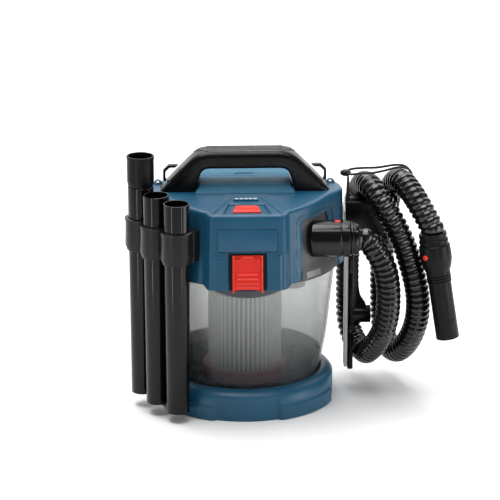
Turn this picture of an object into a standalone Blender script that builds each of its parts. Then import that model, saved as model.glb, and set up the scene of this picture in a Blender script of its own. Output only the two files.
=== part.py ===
"""Cordless wet and dry shop vacuum: a clear tank on a round base, a motor head with a carrying
handle that lifts off it, a pleated cartridge filter inside, and a hose, three wands and a floor
nozzle stored round the outside.

Metres, +Z up. The origin is the middle of the base's underside. The front, with its latch and
power button, faces -Y, and the hose port is on +X.
"""

import math

import bmesh
import bpy
from mathutils import Matrix, Vector

GAP = 0.0003
ROUND_SIDES = 20
WIDE_SIDES = 32
TANK_SIDES = 40

BASE_R = 0.145
BASE_FACET_R = 0.141
BASE_BAND_Z = 0.021
BASE_TOP_Z = 0.047
BASE_TOP_R = 0.121
BASE_FLOOR = 0.005
BASE_ARC_STEPS = 5
FACET_HALF_ANGLE = math.radians(19.5)
FACET_END_ANGLE = math.radians(23.5)

TANK_WALL = 0.0025
TANK_RIM_Z = 0.228
TANK_RIM_R = 0.1396
TANK_FOOT_R = 0.1128
TANK_FLOOR_R = 0.1080
TANK_FLOOR_Z = 0.009

HEAD_FRONT_Z = 0.214
HEAD_SIDE_Z = 0.220
HEAD_SHOULDER_Z = 0.324
HEAD_TOP_Z = 0.334
HEAD_WALL = 0.0032
FRONT_LOW_Y = 0.1455
FRONT_HIGH_Y = 0.1300
FRONT_HALF = 0.060
WELL_Y = -0.041

PORT_Y = -0.080
PORT_Z = 0.275
PORT_R = 0.027
PORT_BORE_R = 0.0215
PORT_END_X = 0.158
STUB_BACK_X = 0.060
STUB_NECK_R = 0.0222
RECESS_X = 0.084
RECESS_Y = -0.044
RECESS_TOP_Z = 0.309

HANDLE_TOP_Z = 0.398
HANDLE_Y = 0.022
HANDLE_FOOT_X = 0.127

LATCH_HALF = 0.023
LATCH_TOP_Z = 0.268
LATCH_LOW_Z = 0.2145
PLATE_Z = 0.290

FILTER_R = 0.0575
FILTER_BORE_R = 0.044
FILTER_LOW_Z = 0.0523
FILTER_TOP_Z = 0.2037
FLANGE_R = 0.068
RETAINER_R = 0.066
CAGE_R = 0.037
FLOAT_R = 0.020
DUCT_SPOT = (0.072, -0.076)
DUCT_R = 0.0185

WAND_TOP_R = 0.0198
WAND_LOW_R = 0.0180
WAND_WALL = 0.0020
WAND_LENGTH = 0.333
WANDS = (
    (-0.1605, -0.053, 0.0207),
    (-0.1372, -0.0937, 0.0183),
    (-0.1066, -0.1278, 0.0145),
)
CLIP_LOW_Z = 0.254
CLIP_TOP_Z = 0.305
CLIP_R = 0.0245
CLIP_BORE_R = 0.0204
ADAPTER_TOP_Z = 0.402

BRACKET_X = 0.1565
BRACKET_END_X = 0.238
BRACKET_Z = 0.314
NOZZLE_Z = (0.029, 0.285)
NOZZLE_Y = (0.008, 0.036)
NOZZLE_X = (0.1575, 0.1715)
NECK_Z = 0.118

HOSE_D = 0.038
HOSE_STEP = 0.024
HOSE_ROUTE = (
    (0.1720, -0.080, 0.275),
    (0.1790, -0.080, 0.275),
    (0.188, -0.080, 0.270),
    (0.198, -0.080, 0.255),
    (0.211, -0.078, 0.231),
    (0.218, -0.074, 0.201),
    (0.220, -0.068, 0.171),
    (0.219, -0.060, 0.143),
    (0.214, -0.048, 0.114),
    (0.205, -0.029, 0.087),
    (0.196, -0.004, 0.066),
    (0.193, 0.020, 0.055),
    (0.190, 0.042, 0.050),
    (0.182, 0.062, 0.053),
    (0.174, 0.080, 0.066),
    (0.169, 0.092, 0.088),
    (0.168, 0.098, 0.114),
    (0.168, 0.100, 0.145),
    (0.168, 0.100, 0.180),
    (0.171, 0.098, 0.220),
    (0.175, 0.090, 0.262),
    (0.180, 0.072, 0.297),
    (0.185, 0.046, 0.323),
    (0.189, 0.018, 0.3345),
    (0.195, -0.009, 0.336),
    (0.204, -0.029, 0.327),
    (0.216, -0.040, 0.309),
    (0.230, -0.046, 0.286),
    (0.244, -0.049, 0.256),
    (0.255, -0.050, 0.222),
    (0.264, -0.049, 0.188),
    (0.268, -0.044, 0.156),
    (0.267, -0.035, 0.126),
    (0.261, -0.023, 0.098),
    (0.252, -0.003, 0.073),
    (0.242, 0.022, 0.056),
    (0.233, 0.050, 0.053),
    (0.227, 0.075, 0.064),
    (0.224, 0.092, 0.089),
    (0.223, 0.100, 0.128),
    (0.223, 0.102, 0.171),
    (0.225, 0.100, 0.215),
    (0.228, 0.091, 0.260),
    (0.231, 0.073, 0.299),
    (0.235, 0.049, 0.324),
    (0.240, 0.022, 0.337),
    (0.247, -0.004, 0.340),
    (0.2555, -0.024, 0.333),
    (0.2658, -0.043, 0.3195),
    (0.2760, -0.056, 0.3025),
    (0.2851, -0.0636, 0.2855),
    (0.2862, -0.0640, 0.2785),
)
GRIP_LENGTH = 0.170

BLUE = (0.026, 0.087, 0.150, 1.0)
RED = (0.62, 0.030, 0.016, 1.0)
BLACK = (0.012, 0.012, 0.013, 1.0)
DARK_GREY = (0.045, 0.045, 0.045, 1.0)
GREY = (0.18, 0.18, 0.18, 1.0)
WHITE = (0.70, 0.70, 0.68, 1.0)
SMOKE = (0.30, 0.32, 0.31, 0.45)
STEEL = (0.55, 0.55, 0.56, 1.0)
COPPER = (0.10, 0.30, 0.12, 1.0)

for old in list(bpy.data.objects):
    bpy.data.objects.remove(old)


def material(name, colour, roughness, metallic=0.0):
    made = bpy.data.materials.new(name)
    made.use_nodes = True
    shader = made.node_tree.nodes["Principled BSDF"]
    shader.inputs["Base Color"].default_value = (*colour[:3], 1.0)
    shader.inputs["Roughness"].default_value = roughness
    shader.inputs["Metallic"].default_value = metallic
    shader.inputs["Alpha"].default_value = colour[3]
    return made


def group(name):
    empty = bpy.data.objects.new(name, None)
    bpy.context.scene.collection.objects.link(empty)
    return empty


bucket_group = group("bucket_group")
head_group = group("head_group")
storage_group = group("storage_group")
storage_group.parent = head_group


def finish(name, mesh, finish_of, parent, origin=(0.0, 0.0, 0.0), smooth=True):
    """An object from a bmesh drawn in world coordinates, with its origin moved to its axis."""
    bmesh.ops.remove_doubles(mesh, verts=mesh.verts, dist=1e-6)
    bmesh.ops.recalc_face_normals(mesh, faces=mesh.faces)
    bmesh.ops.triangulate(mesh, faces=mesh.faces)
    bmesh.ops.translate(mesh, verts=mesh.verts, vec=-Vector(origin))
    data = bpy.data.meshes.new(name)
    mesh.to_mesh(data)
    mesh.free()
    if smooth:
        data.shade_smooth()
        data.set_sharp_from_angle(angle=math.radians(35))
    data.materials.append(finish_of)
    made = bpy.data.objects.new(name, data)
    made.location = origin
    made.parent = parent
    bpy.context.scene.collection.objects.link(made)
    return made


def lofted(rings, closed=False):
    """A bmesh through rings of equally many points: capped at both ends, or joined into a ring."""
    mesh = bmesh.new()
    rows = [[mesh.verts.new(point) for point in ring] for ring in rings]
    pairs = list(zip(rows, rows[1:]))
    if closed:
        pairs.append((rows[-1], rows[0]))
    for low, high in pairs:
        for i in range(len(low)):
            j = (i + 1) % len(low)
            mesh.faces.new((low[i], low[j], high[j], high[i]))
    if not closed:
        mesh.faces.new(rows[0][::-1])
        mesh.faces.new(rows[-1])
    return mesh


def circle(radius, height, sides=ROUND_SIDES, centre=(0.0, 0.0)):
    turn = 2 * math.pi / sides
    return [
        (centre[0] + radius * math.cos(i * turn), centre[1] + radius * math.sin(i * turn), height)
        for i in range(sides)
    ]


def turned(profile, hollow=True, sides=ROUND_SIDES, centre=(0.0, 0.0)):
    """A turned bmesh about a vertical axis. A hollow profile is a closed outline off the axis."""
    rings = [circle(radius, height, sides, centre) for radius, height in profile]
    return lofted(rings, closed=hollow)


def lay_along(mesh, start, direction):
    """Turns a bmesh drawn up +Z from the origin so that it runs from start along direction."""
    turn = Vector((0.0, 0.0, 1.0)).rotation_difference(Vector(direction)).to_matrix().to_4x4()
    bmesh.ops.transform(mesh, matrix=Matrix.Translation(start) @ turn, verts=mesh.verts)
    return mesh


def rounded(mesh, width, segments=2, angle=50):
    """Bevels the edges of a bmesh that are sharper than an angle."""
    bmesh.ops.recalc_face_normals(mesh, faces=mesh.faces)
    sharp = [
        edge
        for edge in mesh.edges
        if len(edge.link_faces) == 2 and edge.calc_face_angle() > math.radians(angle)
    ]
    bmesh.ops.bevel(
        mesh, geom=sharp, offset=width, segments=segments, profile=0.5, affect="EDGES", clamp_overlap=True
    )
    return mesh


def block(low, high, bevel=0.0, segments=1):
    mesh = bmesh.new()
    bmesh.ops.create_cube(mesh, size=1.0)
    size = Vector(high) - Vector(low)
    middle = (Vector(high) + Vector(low)) / 2
    place = Matrix.Translation(middle) @ Matrix.Diagonal((*size, 1.0))
    bmesh.ops.transform(mesh, matrix=place, verts=mesh.verts)
    if bevel:
        rounded(mesh, bevel, segments)
    return mesh


def extruded(outline, axis, low, high):
    """A flat outline pushed along an axis. Its points give the two other axes in X, Y, Z order."""

    def at(point, level):
        spot = list(point)
        spot.insert("XYZ".index(axis), level)
        return spot

    return lofted([[at(point, low) for point in outline], [at(point, high) for point in outline]])


def cutter(name, mesh):
    made = finish(name, mesh, cut_finish, None, smooth=False)
    made.hide_render = True
    made.display_type = "WIRE"
    return made


def boolean(target, other, operation="DIFFERENCE"):
    step = target.modifiers.new(other.name, "BOOLEAN")
    step.operation = operation
    step.solver = "EXACT"
    step.object = other


cut_finish = material("cutter", GREY, 0.5)
blue = material("blue_shell", BLUE, 0.42)
red = material("red_control", RED, 0.35)
black = material("black_shell", BLACK, 0.35)
soft_black = material("soft_grip", BLACK, 0.65)
dark = material("dark_grey_panel", DARK_GREY, 0.6)
smoke = material("smoked_clear", SMOKE, 0.25)
paper = material("filter_paper", WHITE, 0.85)
steel = material("steel", STEEL, 0.3, 1.0)
rubber = material("rubber", BLACK, 0.8)
felt = material("felt", WHITE, 0.95)
board = material("circuit_board", COPPER, 0.5)
cell = material("battery_case", DARK_GREY, 0.45)


# Base: a round foot with four flat-topped facets.
def base_angles():
    """Angles round the base, closer together where a facet meets the round wall."""
    steps = (0.0, 6.5, 13.0, 19.5, 23.5, 30.5, 37.75)
    around = []
    for quarter in range(4):
        middle = 90.0 * quarter
        around += [middle + step for step in steps]
        around += [middle + 90.0 - step for step in reversed(steps[1:])]
        around.append(middle + 45.0)
    return [math.radians(angle) for angle in sorted(set(around))]


def wall_limit(angle):
    """The base wall's radius: smaller on a facet, with a short run out to the full circle."""
    from_middle = abs((angle + math.pi / 4) % (math.pi / 2) - math.pi / 4)
    share = (from_middle - FACET_HALF_ANGLE) / (FACET_END_ANGLE - FACET_HALF_ANGLE)
    share = min(max(share, 0.0), 1.0)
    return BASE_FACET_R + (BASE_R - BASE_FACET_R) * share


def base_profile():
    """The outer face from the floor up: a plain band, then a rounded slope up to the tank."""
    outer = [(BASE_R - 0.0015, 0.0), (BASE_R, 0.002), (BASE_R, BASE_BAND_Z)]
    inner = BASE_R - 0.0012
    for i in range(1, BASE_ARC_STEPS + 1):
        turn = math.radians(90 * i / BASE_ARC_STEPS)
        radius = BASE_TOP_R + (inner - BASE_TOP_R) * math.cos(turn)
        height = BASE_BAND_Z + (BASE_TOP_Z - BASE_BAND_Z) * math.sin(turn)
        outer.append((radius, height))
    return outer


def make_base():
    pocket = [(0.1189, 0.0360), (TANK_FOOT_R + 0.0016, BASE_FLOOR), (0.002, BASE_FLOOR)]
    rings = []
    for radius, height in base_profile() + pocket:
        rings.append(
            [
                (min(radius, wall_limit(a)) * math.cos(a), min(radius, wall_limit(a)) * math.sin(a), height)
                for a in base_angles()
            ]
        )
    finish("base_ring", lofted(rings), blue, bucket_group)


def make_tank():
    """The tank's wall, which widens upwards, and the floor that closes it."""
    outer = [
        (TANK_FOOT_R - 0.003, BASE_FLOOR + GAP),
        (TANK_FOOT_R, 0.0085),
        (0.1183, 0.036),
        (0.1204, 0.0475),
        (0.1270, 0.090),
        (0.1310, 0.129),
        (0.1382, 0.197),
        (TANK_RIM_R, 0.210),
        (TANK_RIM_R, TANK_RIM_Z),
    ]
    inner = [(radius - TANK_WALL, height) for radius, height in reversed(outer[2:])]
    foot = [(TANK_FLOOR_R + 2 * GAP, TANK_FLOOR_Z), (TANK_FLOOR_R + GAP, BASE_FLOOR + GAP)]
    finish("tank", turned(outer + inner + foot, sides=TANK_SIDES), smoke, bucket_group)
    disc = [
        (0.002, BASE_FLOOR + GAP),
        (TANK_FLOOR_R, BASE_FLOOR + GAP),
        (TANK_FLOOR_R, TANK_FLOOR_Z),
        (0.002, TANK_FLOOR_Z),
    ]
    finish("tank_floor", turned(disc, hollow=False, sides=TANK_SIDES), smoke, bucket_group)


# Head: an outline half from the front middle to the back middle, at its rim and its shoulder.
RIM_HALF = (
    (0.0, -FRONT_LOW_Y),
    (0.0300, -0.1451),
    (0.0545, -0.1440),
    (FRONT_HALF, -0.1400),
    (0.0667, -0.1309),
    (0.0752, -0.1257),
    (0.0859, -0.1187),
    (0.0949, -0.1116),
    (0.1045, -0.1028),
    (0.1172, -0.0879),
    (0.1293, -0.0692),
    (0.1390, -0.0480),
    (0.1500, -0.0280),
    (0.1545, -0.0100),
    (0.1550, 0.0100),
    (0.1520, 0.0300),
    (0.1430, 0.0500),
    (0.1303, 0.0692),
    (0.1045, 0.1028),
    (0.0859, 0.1187),
    (0.0667, 0.1309),
    (FRONT_HALF, 0.1400),
    (0.0545, 0.1440),
    (0.0300, 0.1451),
    (0.0, FRONT_LOW_Y),
)
SHOULDER_HALF = (
    (0.0, -FRONT_HIGH_Y),
    (0.028, -0.1297),
    (0.0520, -0.1290),
    (0.0575, -0.1258),
    (0.0635, -0.1140),
    (0.0720, -0.1075),
    (0.0805, -0.1003),
    (0.0890, -0.0925),
    (0.0970, -0.0842),
    (0.1080, -0.0700),
    (0.1190, -0.0530),
    (0.1310, -0.0355),
    (0.1440, -0.0215),
    (0.1505, -0.0090),
    (0.1515, 0.0090),
    (0.1480, 0.0260),
    (0.1370, 0.0430),
    (0.1210, 0.0600),
    (0.0970, 0.0842),
    (0.0805, 0.1003),
    (0.0635, 0.1140),
    (0.0575, 0.1258),
    (0.0520, 0.1290),
    (0.0280, 0.1297),
    (0.0, FRONT_HIGH_Y),
)


def mirrored(half):
    """A closed outline from a half that starts and ends on the Y axis."""
    return list(half) + [(-x, y) for x, y in reversed(half[1:-1])]


def inset(outline, distance):
    """The outline moved inwards, square to its own edges."""
    count = len(outline)
    moved = []
    for i in range(count):
        before = Vector(outline[i - 1])
        after = Vector(outline[(i + 1) % count])
        along = (after - before).normalized()
        moved.append((outline[i][0] - along.y * distance, outline[i][1] + along.x * distance))
    return moved


def head_outline(height, depth=0.0):
    """The head's outline at a height, moved in by a depth."""
    share = (height - HEAD_FRONT_Z) / (HEAD_SHOULDER_Z - HEAD_FRONT_Z)
    low, high = mirrored(RIM_HALF), mirrored(SHOULDER_HALF)
    between = [Vector(a).lerp(Vector(b), share) for a, b in zip(low, high)]
    return inset([tuple(point) for point in between], depth) if depth else [tuple(p) for p in between]


def rim_height(point):
    """The skirt hangs lower across the front and the back."""
    return HEAD_FRONT_Z if abs(point[0]) < FRONT_HALF + 0.001 else HEAD_SIDE_Z


def top_height(point):
    """The head's top falls gently to the front and to the back."""
    return HEAD_TOP_Z - 0.069 * max(0.0, abs(point[1]) + WELL_Y)


def make_head_shell():
    rims = mirrored(RIM_HALF)
    scaled = head_outline(HEAD_SHOULDER_Z)

    def level(height, depth=0.0, least=None):
        return [
            (x, y, max(height, rim_height(rim)) if least else height)
            for (x, y), rim in zip(head_outline(height, depth), rims)
        ]

    def top_ring(depth, drop, share=1.0):
        ring = inset(scaled, depth)
        return [(x * share, y * share, top_height((x * share, y * share)) - drop) for x, y in ring]

    outer = [
        level(HEAD_FRONT_Z, least=True),
        level(0.240),
        level(0.280),
        level(0.303),
        top_ring(0.0, 0.0045),
        top_ring(0.0012, 0.0018),
        top_ring(0.0040, 0.0),
        top_ring(0.0040, 0.0, 0.66),
        top_ring(0.0040, 0.0, 0.31),
    ]
    inner = [
        level(HEAD_FRONT_Z, HEAD_WALL, least=True),
        level(0.240, HEAD_WALL),
        level(0.303, HEAD_WALL),
        top_ring(HEAD_WALL + 0.0016, HEAD_WALL + 0.0030),
        top_ring(HEAD_WALL + 0.0016, HEAD_WALL + 0.0030, 0.66),
        top_ring(HEAD_WALL + 0.0016, HEAD_WALL + 0.0030, 0.31),
    ]
    shell = finish("head_shell", lofted(inner[::-1] + outer), blue, head_group)
    recess = ((RECESS_X, -0.200), (0.200, -0.200), (0.200, RECESS_Y), (RECESS_X, RECESS_Y))
    boolean(shell, cutter("recess_cut", extruded(recess, "Z", 0.200, RECESS_TOP_Z)))
    boolean(shell, cutter("battery_bay_cut", block((-0.066, 0.030, 0.300), (0.066, 0.096, 0.350))))
    boolean(shell, cutter("button_cut", button_block(0.0005, 0.300, 0.350)))


def button_block(growth, low, high):
    """The power button's four-sided outline, a little larger by growth."""
    outline = (
        (-0.0220 - growth, -0.1150 - growth),
        (0.0220 + growth, -0.1150 - growth),
        (0.0165 + growth, -0.0870 + growth),
        (-0.0165 - growth, -0.0870 + growth),
    )
    return extruded(outline, "Z", low, high)


def make_port_panel():
    """The dark panel that closes the head's right front corner, set back behind the shell."""
    thickness = 0.0026
    setback = 0.0045
    depths = (
        (0.2165, 0.0006),
        (0.2330, 0.0010),
        (0.2400, setback),
        (PORT_Z, setback),
        (RECESS_TOP_Z - 0.0005, setback),
    )
    outer = [[(x, y, z) for x, y in head_outline(z, depth)] for z, depth in depths]
    inner = [[(x, y, z) for x, y in head_outline(z, depth + thickness)] for z, depth in depths]
    panel = finish("port_panel", lofted(outer + inner[::-1], closed=True), dark, head_group)
    corner = (
        (RECESS_X + 0.0005, -0.190),
        (0.190, -0.190),
        (0.190, RECESS_Y - 0.0005),
        (RECESS_X + 0.0005, RECESS_Y - 0.0005),
    )
    boolean(panel, cutter("panel_keep", extruded(corner, "Z", 0.210, 0.350)), "INTERSECT")
    hole = turned(((PORT_R + GAP, 0.0), (PORT_R + GAP, 0.1)), hollow=False)
    boolean(panel, cutter("port_hole_cut", lay_along(hole, (0.08, PORT_Y, PORT_Z), (1, 0, 0))))


def make_front_parts():
    """The blank name plate, the charge gauge and the power button on the head's front."""
    lean = math.atan2(FRONT_LOW_Y - FRONT_HIGH_Y, HEAD_SHOULDER_Z - HEAD_FRONT_Z)
    spot = (0.0, -front_face(PLATE_Z) - 0.0004, PLATE_Z)
    plate = block((-0.0445, -0.0010, -0.0170), (0.0445, 0.0, 0.0170), 0.0004)
    place = Matrix.Translation(spot) @ Matrix.Rotation(-lean, 4, "X")
    bmesh.ops.transform(plate, matrix=place, verts=plate.verts)
    finish("name_plate", plate, blue, head_group, spot, smooth=False)
    panel = ((-0.0195, -0.0660), (0.0195, -0.0660), (0.0165, -0.0580), (-0.0165, -0.0580))
    gauge = extruded(panel, "Z", HEAD_TOP_Z - GAP, HEAD_TOP_Z + 0.0007)
    finish("charge_gauge", gauge, dark, head_group, smooth=False)
    button = rounded(button_block(0.0, 0.3240, 0.3316), 0.0008, 1)
    finish("power_button", button, red, head_group, (0.0, -0.1010, 0.3240))


def front_face(height):
    """How far the head's flat front and back stand from the axis at a height."""
    share = (height - HEAD_FRONT_Z) / (HEAD_SHOULDER_Z - HEAD_FRONT_Z)
    return FRONT_LOW_Y + (FRONT_HIGH_Y - FRONT_LOW_Y) * share


def make_latch(name, side):
    """A latch that lies on the head's face and swings out about its top edge."""
    outside = (
        (0.0052, LATCH_LOW_Z),
        (0.0058, 0.2250),
        (0.0044, 0.2360),
        (0.0036, 0.2470),
        (0.0036, LATCH_TOP_Z - 0.0015),
        (0.0022, LATCH_TOP_Z),
    )
    slack = 0.0004
    outline = [(side * (front_face(z) + slack), z) for z in (LATCH_TOP_Z, LATCH_LOW_Z)]
    outline += [(side * (front_face(z) + slack + out), z) for out, z in outside]
    body = rounded(extruded(outline, "X", -LATCH_HALF, LATCH_HALF), 0.0006, 1)
    finish(name, body, red, head_group, (0.0, side * (front_face(LATCH_TOP_Z) + slack), LATCH_TOP_Z))


def make_latches():
    make_latch("front_latch", -1)
    make_latch("rear_latch", 1)


def handle_outline():
    """The handle from the front: an arch with sloping legs and a rounded finger opening."""
    top = [(-0.0600, HANDLE_TOP_Z), (0.0600, HANDLE_TOP_Z), (0.0740, 0.3920), (0.0850, 0.3830)]
    leg = [(HANDLE_FOOT_X - 0.004, 0.3440), (HANDLE_FOOT_X, 0.3345), (0.0770, 0.3345)]
    inside = [(0.0730, 0.3480), (0.0690, 0.3600), (0.0640, 0.3670), (0.0560, 0.3700)]
    right = top[1:] + leg + inside
    left = [(-x, z) for x, z in reversed(right)]
    return right + left


def make_handle():
    body = extruded(handle_outline(), "Y", -HANDLE_Y, HANDLE_Y)
    finish("handle", rounded(body, 0.0045, 2, 60), black, head_group)
    grip = extruded(
        ((-0.0185, 0.3986), (0.0185, 0.3986), (0.0150, 0.3998), (-0.0150, 0.3998)), "X", -0.055, 0.055
    )
    finish("grip_pad", grip, soft_black, head_group)


def make_strap_loops():
    """A fixed D loop on each sloping leg, for a shoulder strap."""
    for side, name in ((-1, "strap_loop_left"), (1, "strap_loop_right")):
        outer = ((0.1025, 0.3722), (0.1175, 0.3722), (0.1262, 0.3640), (0.1262, 0.3480), (0.1235, 0.3460))
        inner = ((0.1208, 0.3485), (0.1222, 0.3505), (0.1222, 0.3622), (0.1158, 0.3682), (0.1075, 0.3682))
        outline = [(side * x, z) for x, z in outer + inner]
        finish(name, extruded(outline, "Y", -0.0050, 0.0050), black, head_group)


def make_top_covers():
    """The ramp under the handle, and the lid over the battery bay behind it."""
    ramp = ((-0.0395, 0.3345), (-0.0380, 0.3372), (0.0060, 0.3450), (0.0240, 0.3458), (0.0240, 0.3345))
    body = extruded(ramp, "X", -0.0728, 0.0728)
    finish("handle_well_cover", rounded(body, 0.0012, 1), blue, head_group)
    lid = (
        (0.0248, 0.3360),
        (0.0248, 0.3458),
        (0.0600, 0.3470),
        (0.0920, 0.3440),
        (0.1060, 0.3400),
        (0.1090, 0.3340),
        (0.1060, 0.3318),
        (0.0980, 0.3348),
    )
    finish(
        "battery_lid",
        rounded(extruded(lid, "X", -0.0700, 0.0700), 0.0012, 1),
        blue,
        head_group,
        (0.0, 0.1085, 0.3345),
    )


def make_battery():
    tray = ((-0.0655, 0.0305), (0.0655, 0.0305), (0.0655, 0.0955), (-0.0655, 0.0955))
    bay = finish("battery_bay", extruded(tray, "Z", 0.2560, 0.3330), black, head_group)
    boolean(bay, cutter("bay_hollow", block((-0.0630, 0.0330, 0.2585), (0.0630, 0.0930, 0.3400))))
    pack = block((-0.0590, 0.0375, 0.2640), (0.0590, 0.0865, 0.3320), 0.004, 1)
    finish("battery_pack", pack, cell, head_group)
    finish("battery_terminal", block((-0.0180, 0.0332, 0.2640), (0.0180, 0.0372, 0.2900)), dark, head_group)


def make_head_base():
    """The motor plate that closes the head from below, and the seal between it and the tank."""
    plate = (
        (0.030, 0.2180),
        (0.1350, 0.2180),
        (0.1364, 0.2200),
        (0.1364, 0.2310),
        (0.1376, 0.2310),
        (0.1376, 0.2340),
        (0.1335, 0.2340),
        (0.1335, 0.2220),
        (0.030, 0.2220),
    )
    base = finish("motor_plate", turned(plate, sides=WIDE_SIDES), dark, head_group)
    hole = turned(((DUCT_R + 0.0018, 0.20), (DUCT_R + 0.0018, 0.24)), False, ROUND_SIDES, DUCT_SPOT)
    boolean(base, cutter("duct_hole_cut", hole))
    seal = ((0.1368, 0.2283), (0.1386, 0.2283), (0.1386, 0.2307), (0.1368, 0.2307))
    finish("tank_seal", turned(seal, sides=WIDE_SIDES), rubber, head_group)


def make_motor():
    """The fan in its housing, the motor above it and the circuit board in front."""
    housing = (
        (0.030, 0.2223),
        (0.052, 0.2223),
        (0.052, 0.2420),
        (0.030, 0.2420),
        (0.030, 0.2395),
        (0.0495, 0.2395),
        (0.0495, 0.2248),
        (0.030, 0.2248),
    )
    finish("fan_housing", turned(housing), black, head_group)
    fan = ((0.0, 0.2255), (0.046, 0.2255), (0.046, 0.2285), (0.014, 0.2330), (0.006, 0.2385), (0.0, 0.2385))
    rings = [circle(max(radius, 0.0008), height) for radius, height in fan]
    finish("fan", lofted(rings), steel, head_group, (0.0, 0.0, 0.2255))
    can = (
        (0.008, 0.2425),
        (0.024, 0.2425),
        (0.0255, 0.2440),
        (0.0255, 0.3000),
        (0.022, 0.3030),
        (0.008, 0.3030),
    )
    finish("motor", turned(can), steel, head_group)
    board_low, board_high = (-0.070, -0.075, 0.3000), (0.020, -0.030, 0.3018)
    finish("circuit_board", block(board_low, board_high), board, head_group, smooth=False)


def make_filter():
    """The cartridge filter, its flange and the red cup that holds it up."""
    flange = (
        (CAGE_R + 0.001, FILTER_TOP_Z + GAP),
        (FLANGE_R, FILTER_TOP_Z + GAP),
        (FLANGE_R, 0.2150),
        (FLANGE_R - 0.004, 0.2176),
        (CAGE_R + 0.001, 0.2176),
    )
    finish("filter_flange", turned(flange, sides=WIDE_SIDES), dark, head_group)
    media = (
        (FILTER_BORE_R, FILTER_LOW_Z),
        (FILTER_R, FILTER_LOW_Z),
        (FILTER_R, FILTER_TOP_Z),
        (FILTER_BORE_R, FILTER_TOP_Z),
    )
    finish("filter", turned(media, sides=WIDE_SIDES), paper, head_group)
    nut = (
        (0.0008, 0.0310),
        (0.050, 0.0310),
        (0.0575, 0.0330),
        (RETAINER_R, 0.0410),
        (RETAINER_R, 0.0510),
        (RETAINER_R - 0.001, 0.0520),
        (0.0008, 0.0520),
    )
    cup = turned(nut, hollow=False, sides=WIDE_SIDES)
    finish("filter_retainer", cup, red, head_group, (0.0, 0.0, 0.0310))


def make_float():
    """The float's cage, with four windows, and its ball."""
    tube = (
        (0.0008, 0.0540),
        (CAGE_R, 0.0540),
        (CAGE_R, 0.2176),
        (CAGE_R - 0.0025, 0.2176),
        (CAGE_R - 0.0025, 0.0570),
        (0.0008, 0.0570),
    )
    cage = finish("float_cage", turned(tube, hollow=False), dark, head_group)
    for i in range(2):
        window = block((-0.060, -0.014, 0.0700), (0.060, 0.014, 0.1900))
        quarter = Matrix.Rotation(i * math.pi / 2, 3, "Z")
        bmesh.ops.rotate(window, verts=window.verts, cent=(0, 0, 0), matrix=quarter)
        boolean(cage, cutter(f"cage_window_{i}_cut", window))
    ball = bmesh.new()
    bmesh.ops.create_uvsphere(ball, u_segments=16, v_segments=10, radius=FLOAT_R)
    middle = (0.0, 0.0, 0.0573 + FLOAT_R)
    bmesh.ops.translate(ball, verts=ball.verts, vec=middle)
    finish("float_ball", ball, paper, head_group, middle)


def make_port():
    """The inlet stub on the head, and the duct that leads from it down into the tank."""
    step = RECESS_X + 0.0012 - STUB_BACK_X
    length = PORT_END_X - STUB_BACK_X
    bore = PORT_BORE_R
    pipe = (
        (0.0008, 0.0),
        (STUB_NECK_R, 0.0),
        (STUB_NECK_R, step),
        (PORT_R, step),
        (PORT_R, length),
        (bore, length),
        (bore, step + 0.003),
        (STUB_NECK_R - 0.003, step),
        (STUB_NECK_R - 0.003, 0.003),
        (0.0008, 0.003),
    )
    stub = finish(
        "inlet_stub",
        lay_along(turned(pipe, hollow=False), (STUB_BACK_X, PORT_Y, PORT_Z), (1, 0, 0)),
        black,
        head_group,
        (STUB_BACK_X, PORT_Y, PORT_Z),
    )
    down = turned(((0.0090, 0.235), (0.0090, PORT_Z)), False, ROUND_SIDES, (0.0740, PORT_Y))
    boolean(stub, cutter("stub_floor_cut", down))
    window = block((0.1330, PORT_Y - 0.0055, PORT_Z + 0.015), (0.1470, PORT_Y + 0.0055, PORT_Z + 0.040))
    boolean(stub, cutter("button_window_cut", window))
    duct = ((DUCT_R - 0.002, 0.2000), (DUCT_R, 0.2000), (DUCT_R, 0.2440), (DUCT_R - 0.002, 0.2440))
    finish("inlet_duct", turned(duct, True, ROUND_SIDES, DUCT_SPOT), dark, head_group)


def make_connector():
    """The hose's connector, plugged into the stub, and the button that lets it go."""
    sleeve = (
        (0.0170, 0.0),
        (0.0210, 0.0),
        (0.0210, 0.0295),
        (0.0255, 0.0295),
        (0.0262, 0.0310),
        (0.0262, 0.0345),
        (0.0245, 0.0352),
        (0.0245, 0.0422),
        (0.0215, 0.0428),
        (0.0170, 0.0428),
    )
    start = (PORT_END_X - 0.0291, PORT_Y, PORT_Z)
    finish("hose_connector", lay_along(turned(sleeve), start, (1, 0, 0)), black, storage_group, start)
    low_z, high_z = PORT_Z + 0.0238, PORT_Z + 0.0285
    cap = block((0.1345, PORT_Y - 0.0040, low_z), (0.1440, PORT_Y + 0.0040, high_z), 0.0006)
    finish("release_button", cap, red, head_group, (0.1392, PORT_Y, low_z))


def taper_at(base_z, height):
    """A wand's outer radius at a height."""
    share = (height - base_z) / WAND_LENGTH
    return WAND_LOW_R + (WAND_TOP_R - WAND_LOW_R) * share


def make_wands():
    for i, (x, y, base_z) in enumerate(WANDS, 1):
        top_z = base_z + WAND_LENGTH
        outline = (
            (WAND_LOW_R - WAND_WALL, base_z),
            (WAND_LOW_R, base_z),
            (WAND_TOP_R, top_z),
            (WAND_TOP_R - WAND_WALL, top_z),
        )
        finish(f"wand_{i}", turned(outline, centre=(x, y)), black, storage_group, (x, y, base_z))
    x, y, base_z = WANDS[0]
    mouth = base_z + WAND_LENGTH
    tube = (
        (0.0145, mouth - 0.030),
        (WAND_TOP_R - WAND_WALL - 0.0012, mouth - 0.030),
        (WAND_TOP_R - WAND_WALL - 0.0006, mouth + GAP),
        (WAND_TOP_R - 0.0004, mouth + GAP),
        (0.0206, mouth + 0.006),
        (0.0206, ADAPTER_TOP_Z),
        (0.0182, ADAPTER_TOP_Z),
        (0.0182, mouth + 0.008),
        (0.0145, mouth + 0.002),
    )
    finish("tool_adapter", turned(tube, centre=(x, y)), black, storage_group, (x, y, mouth))


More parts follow.
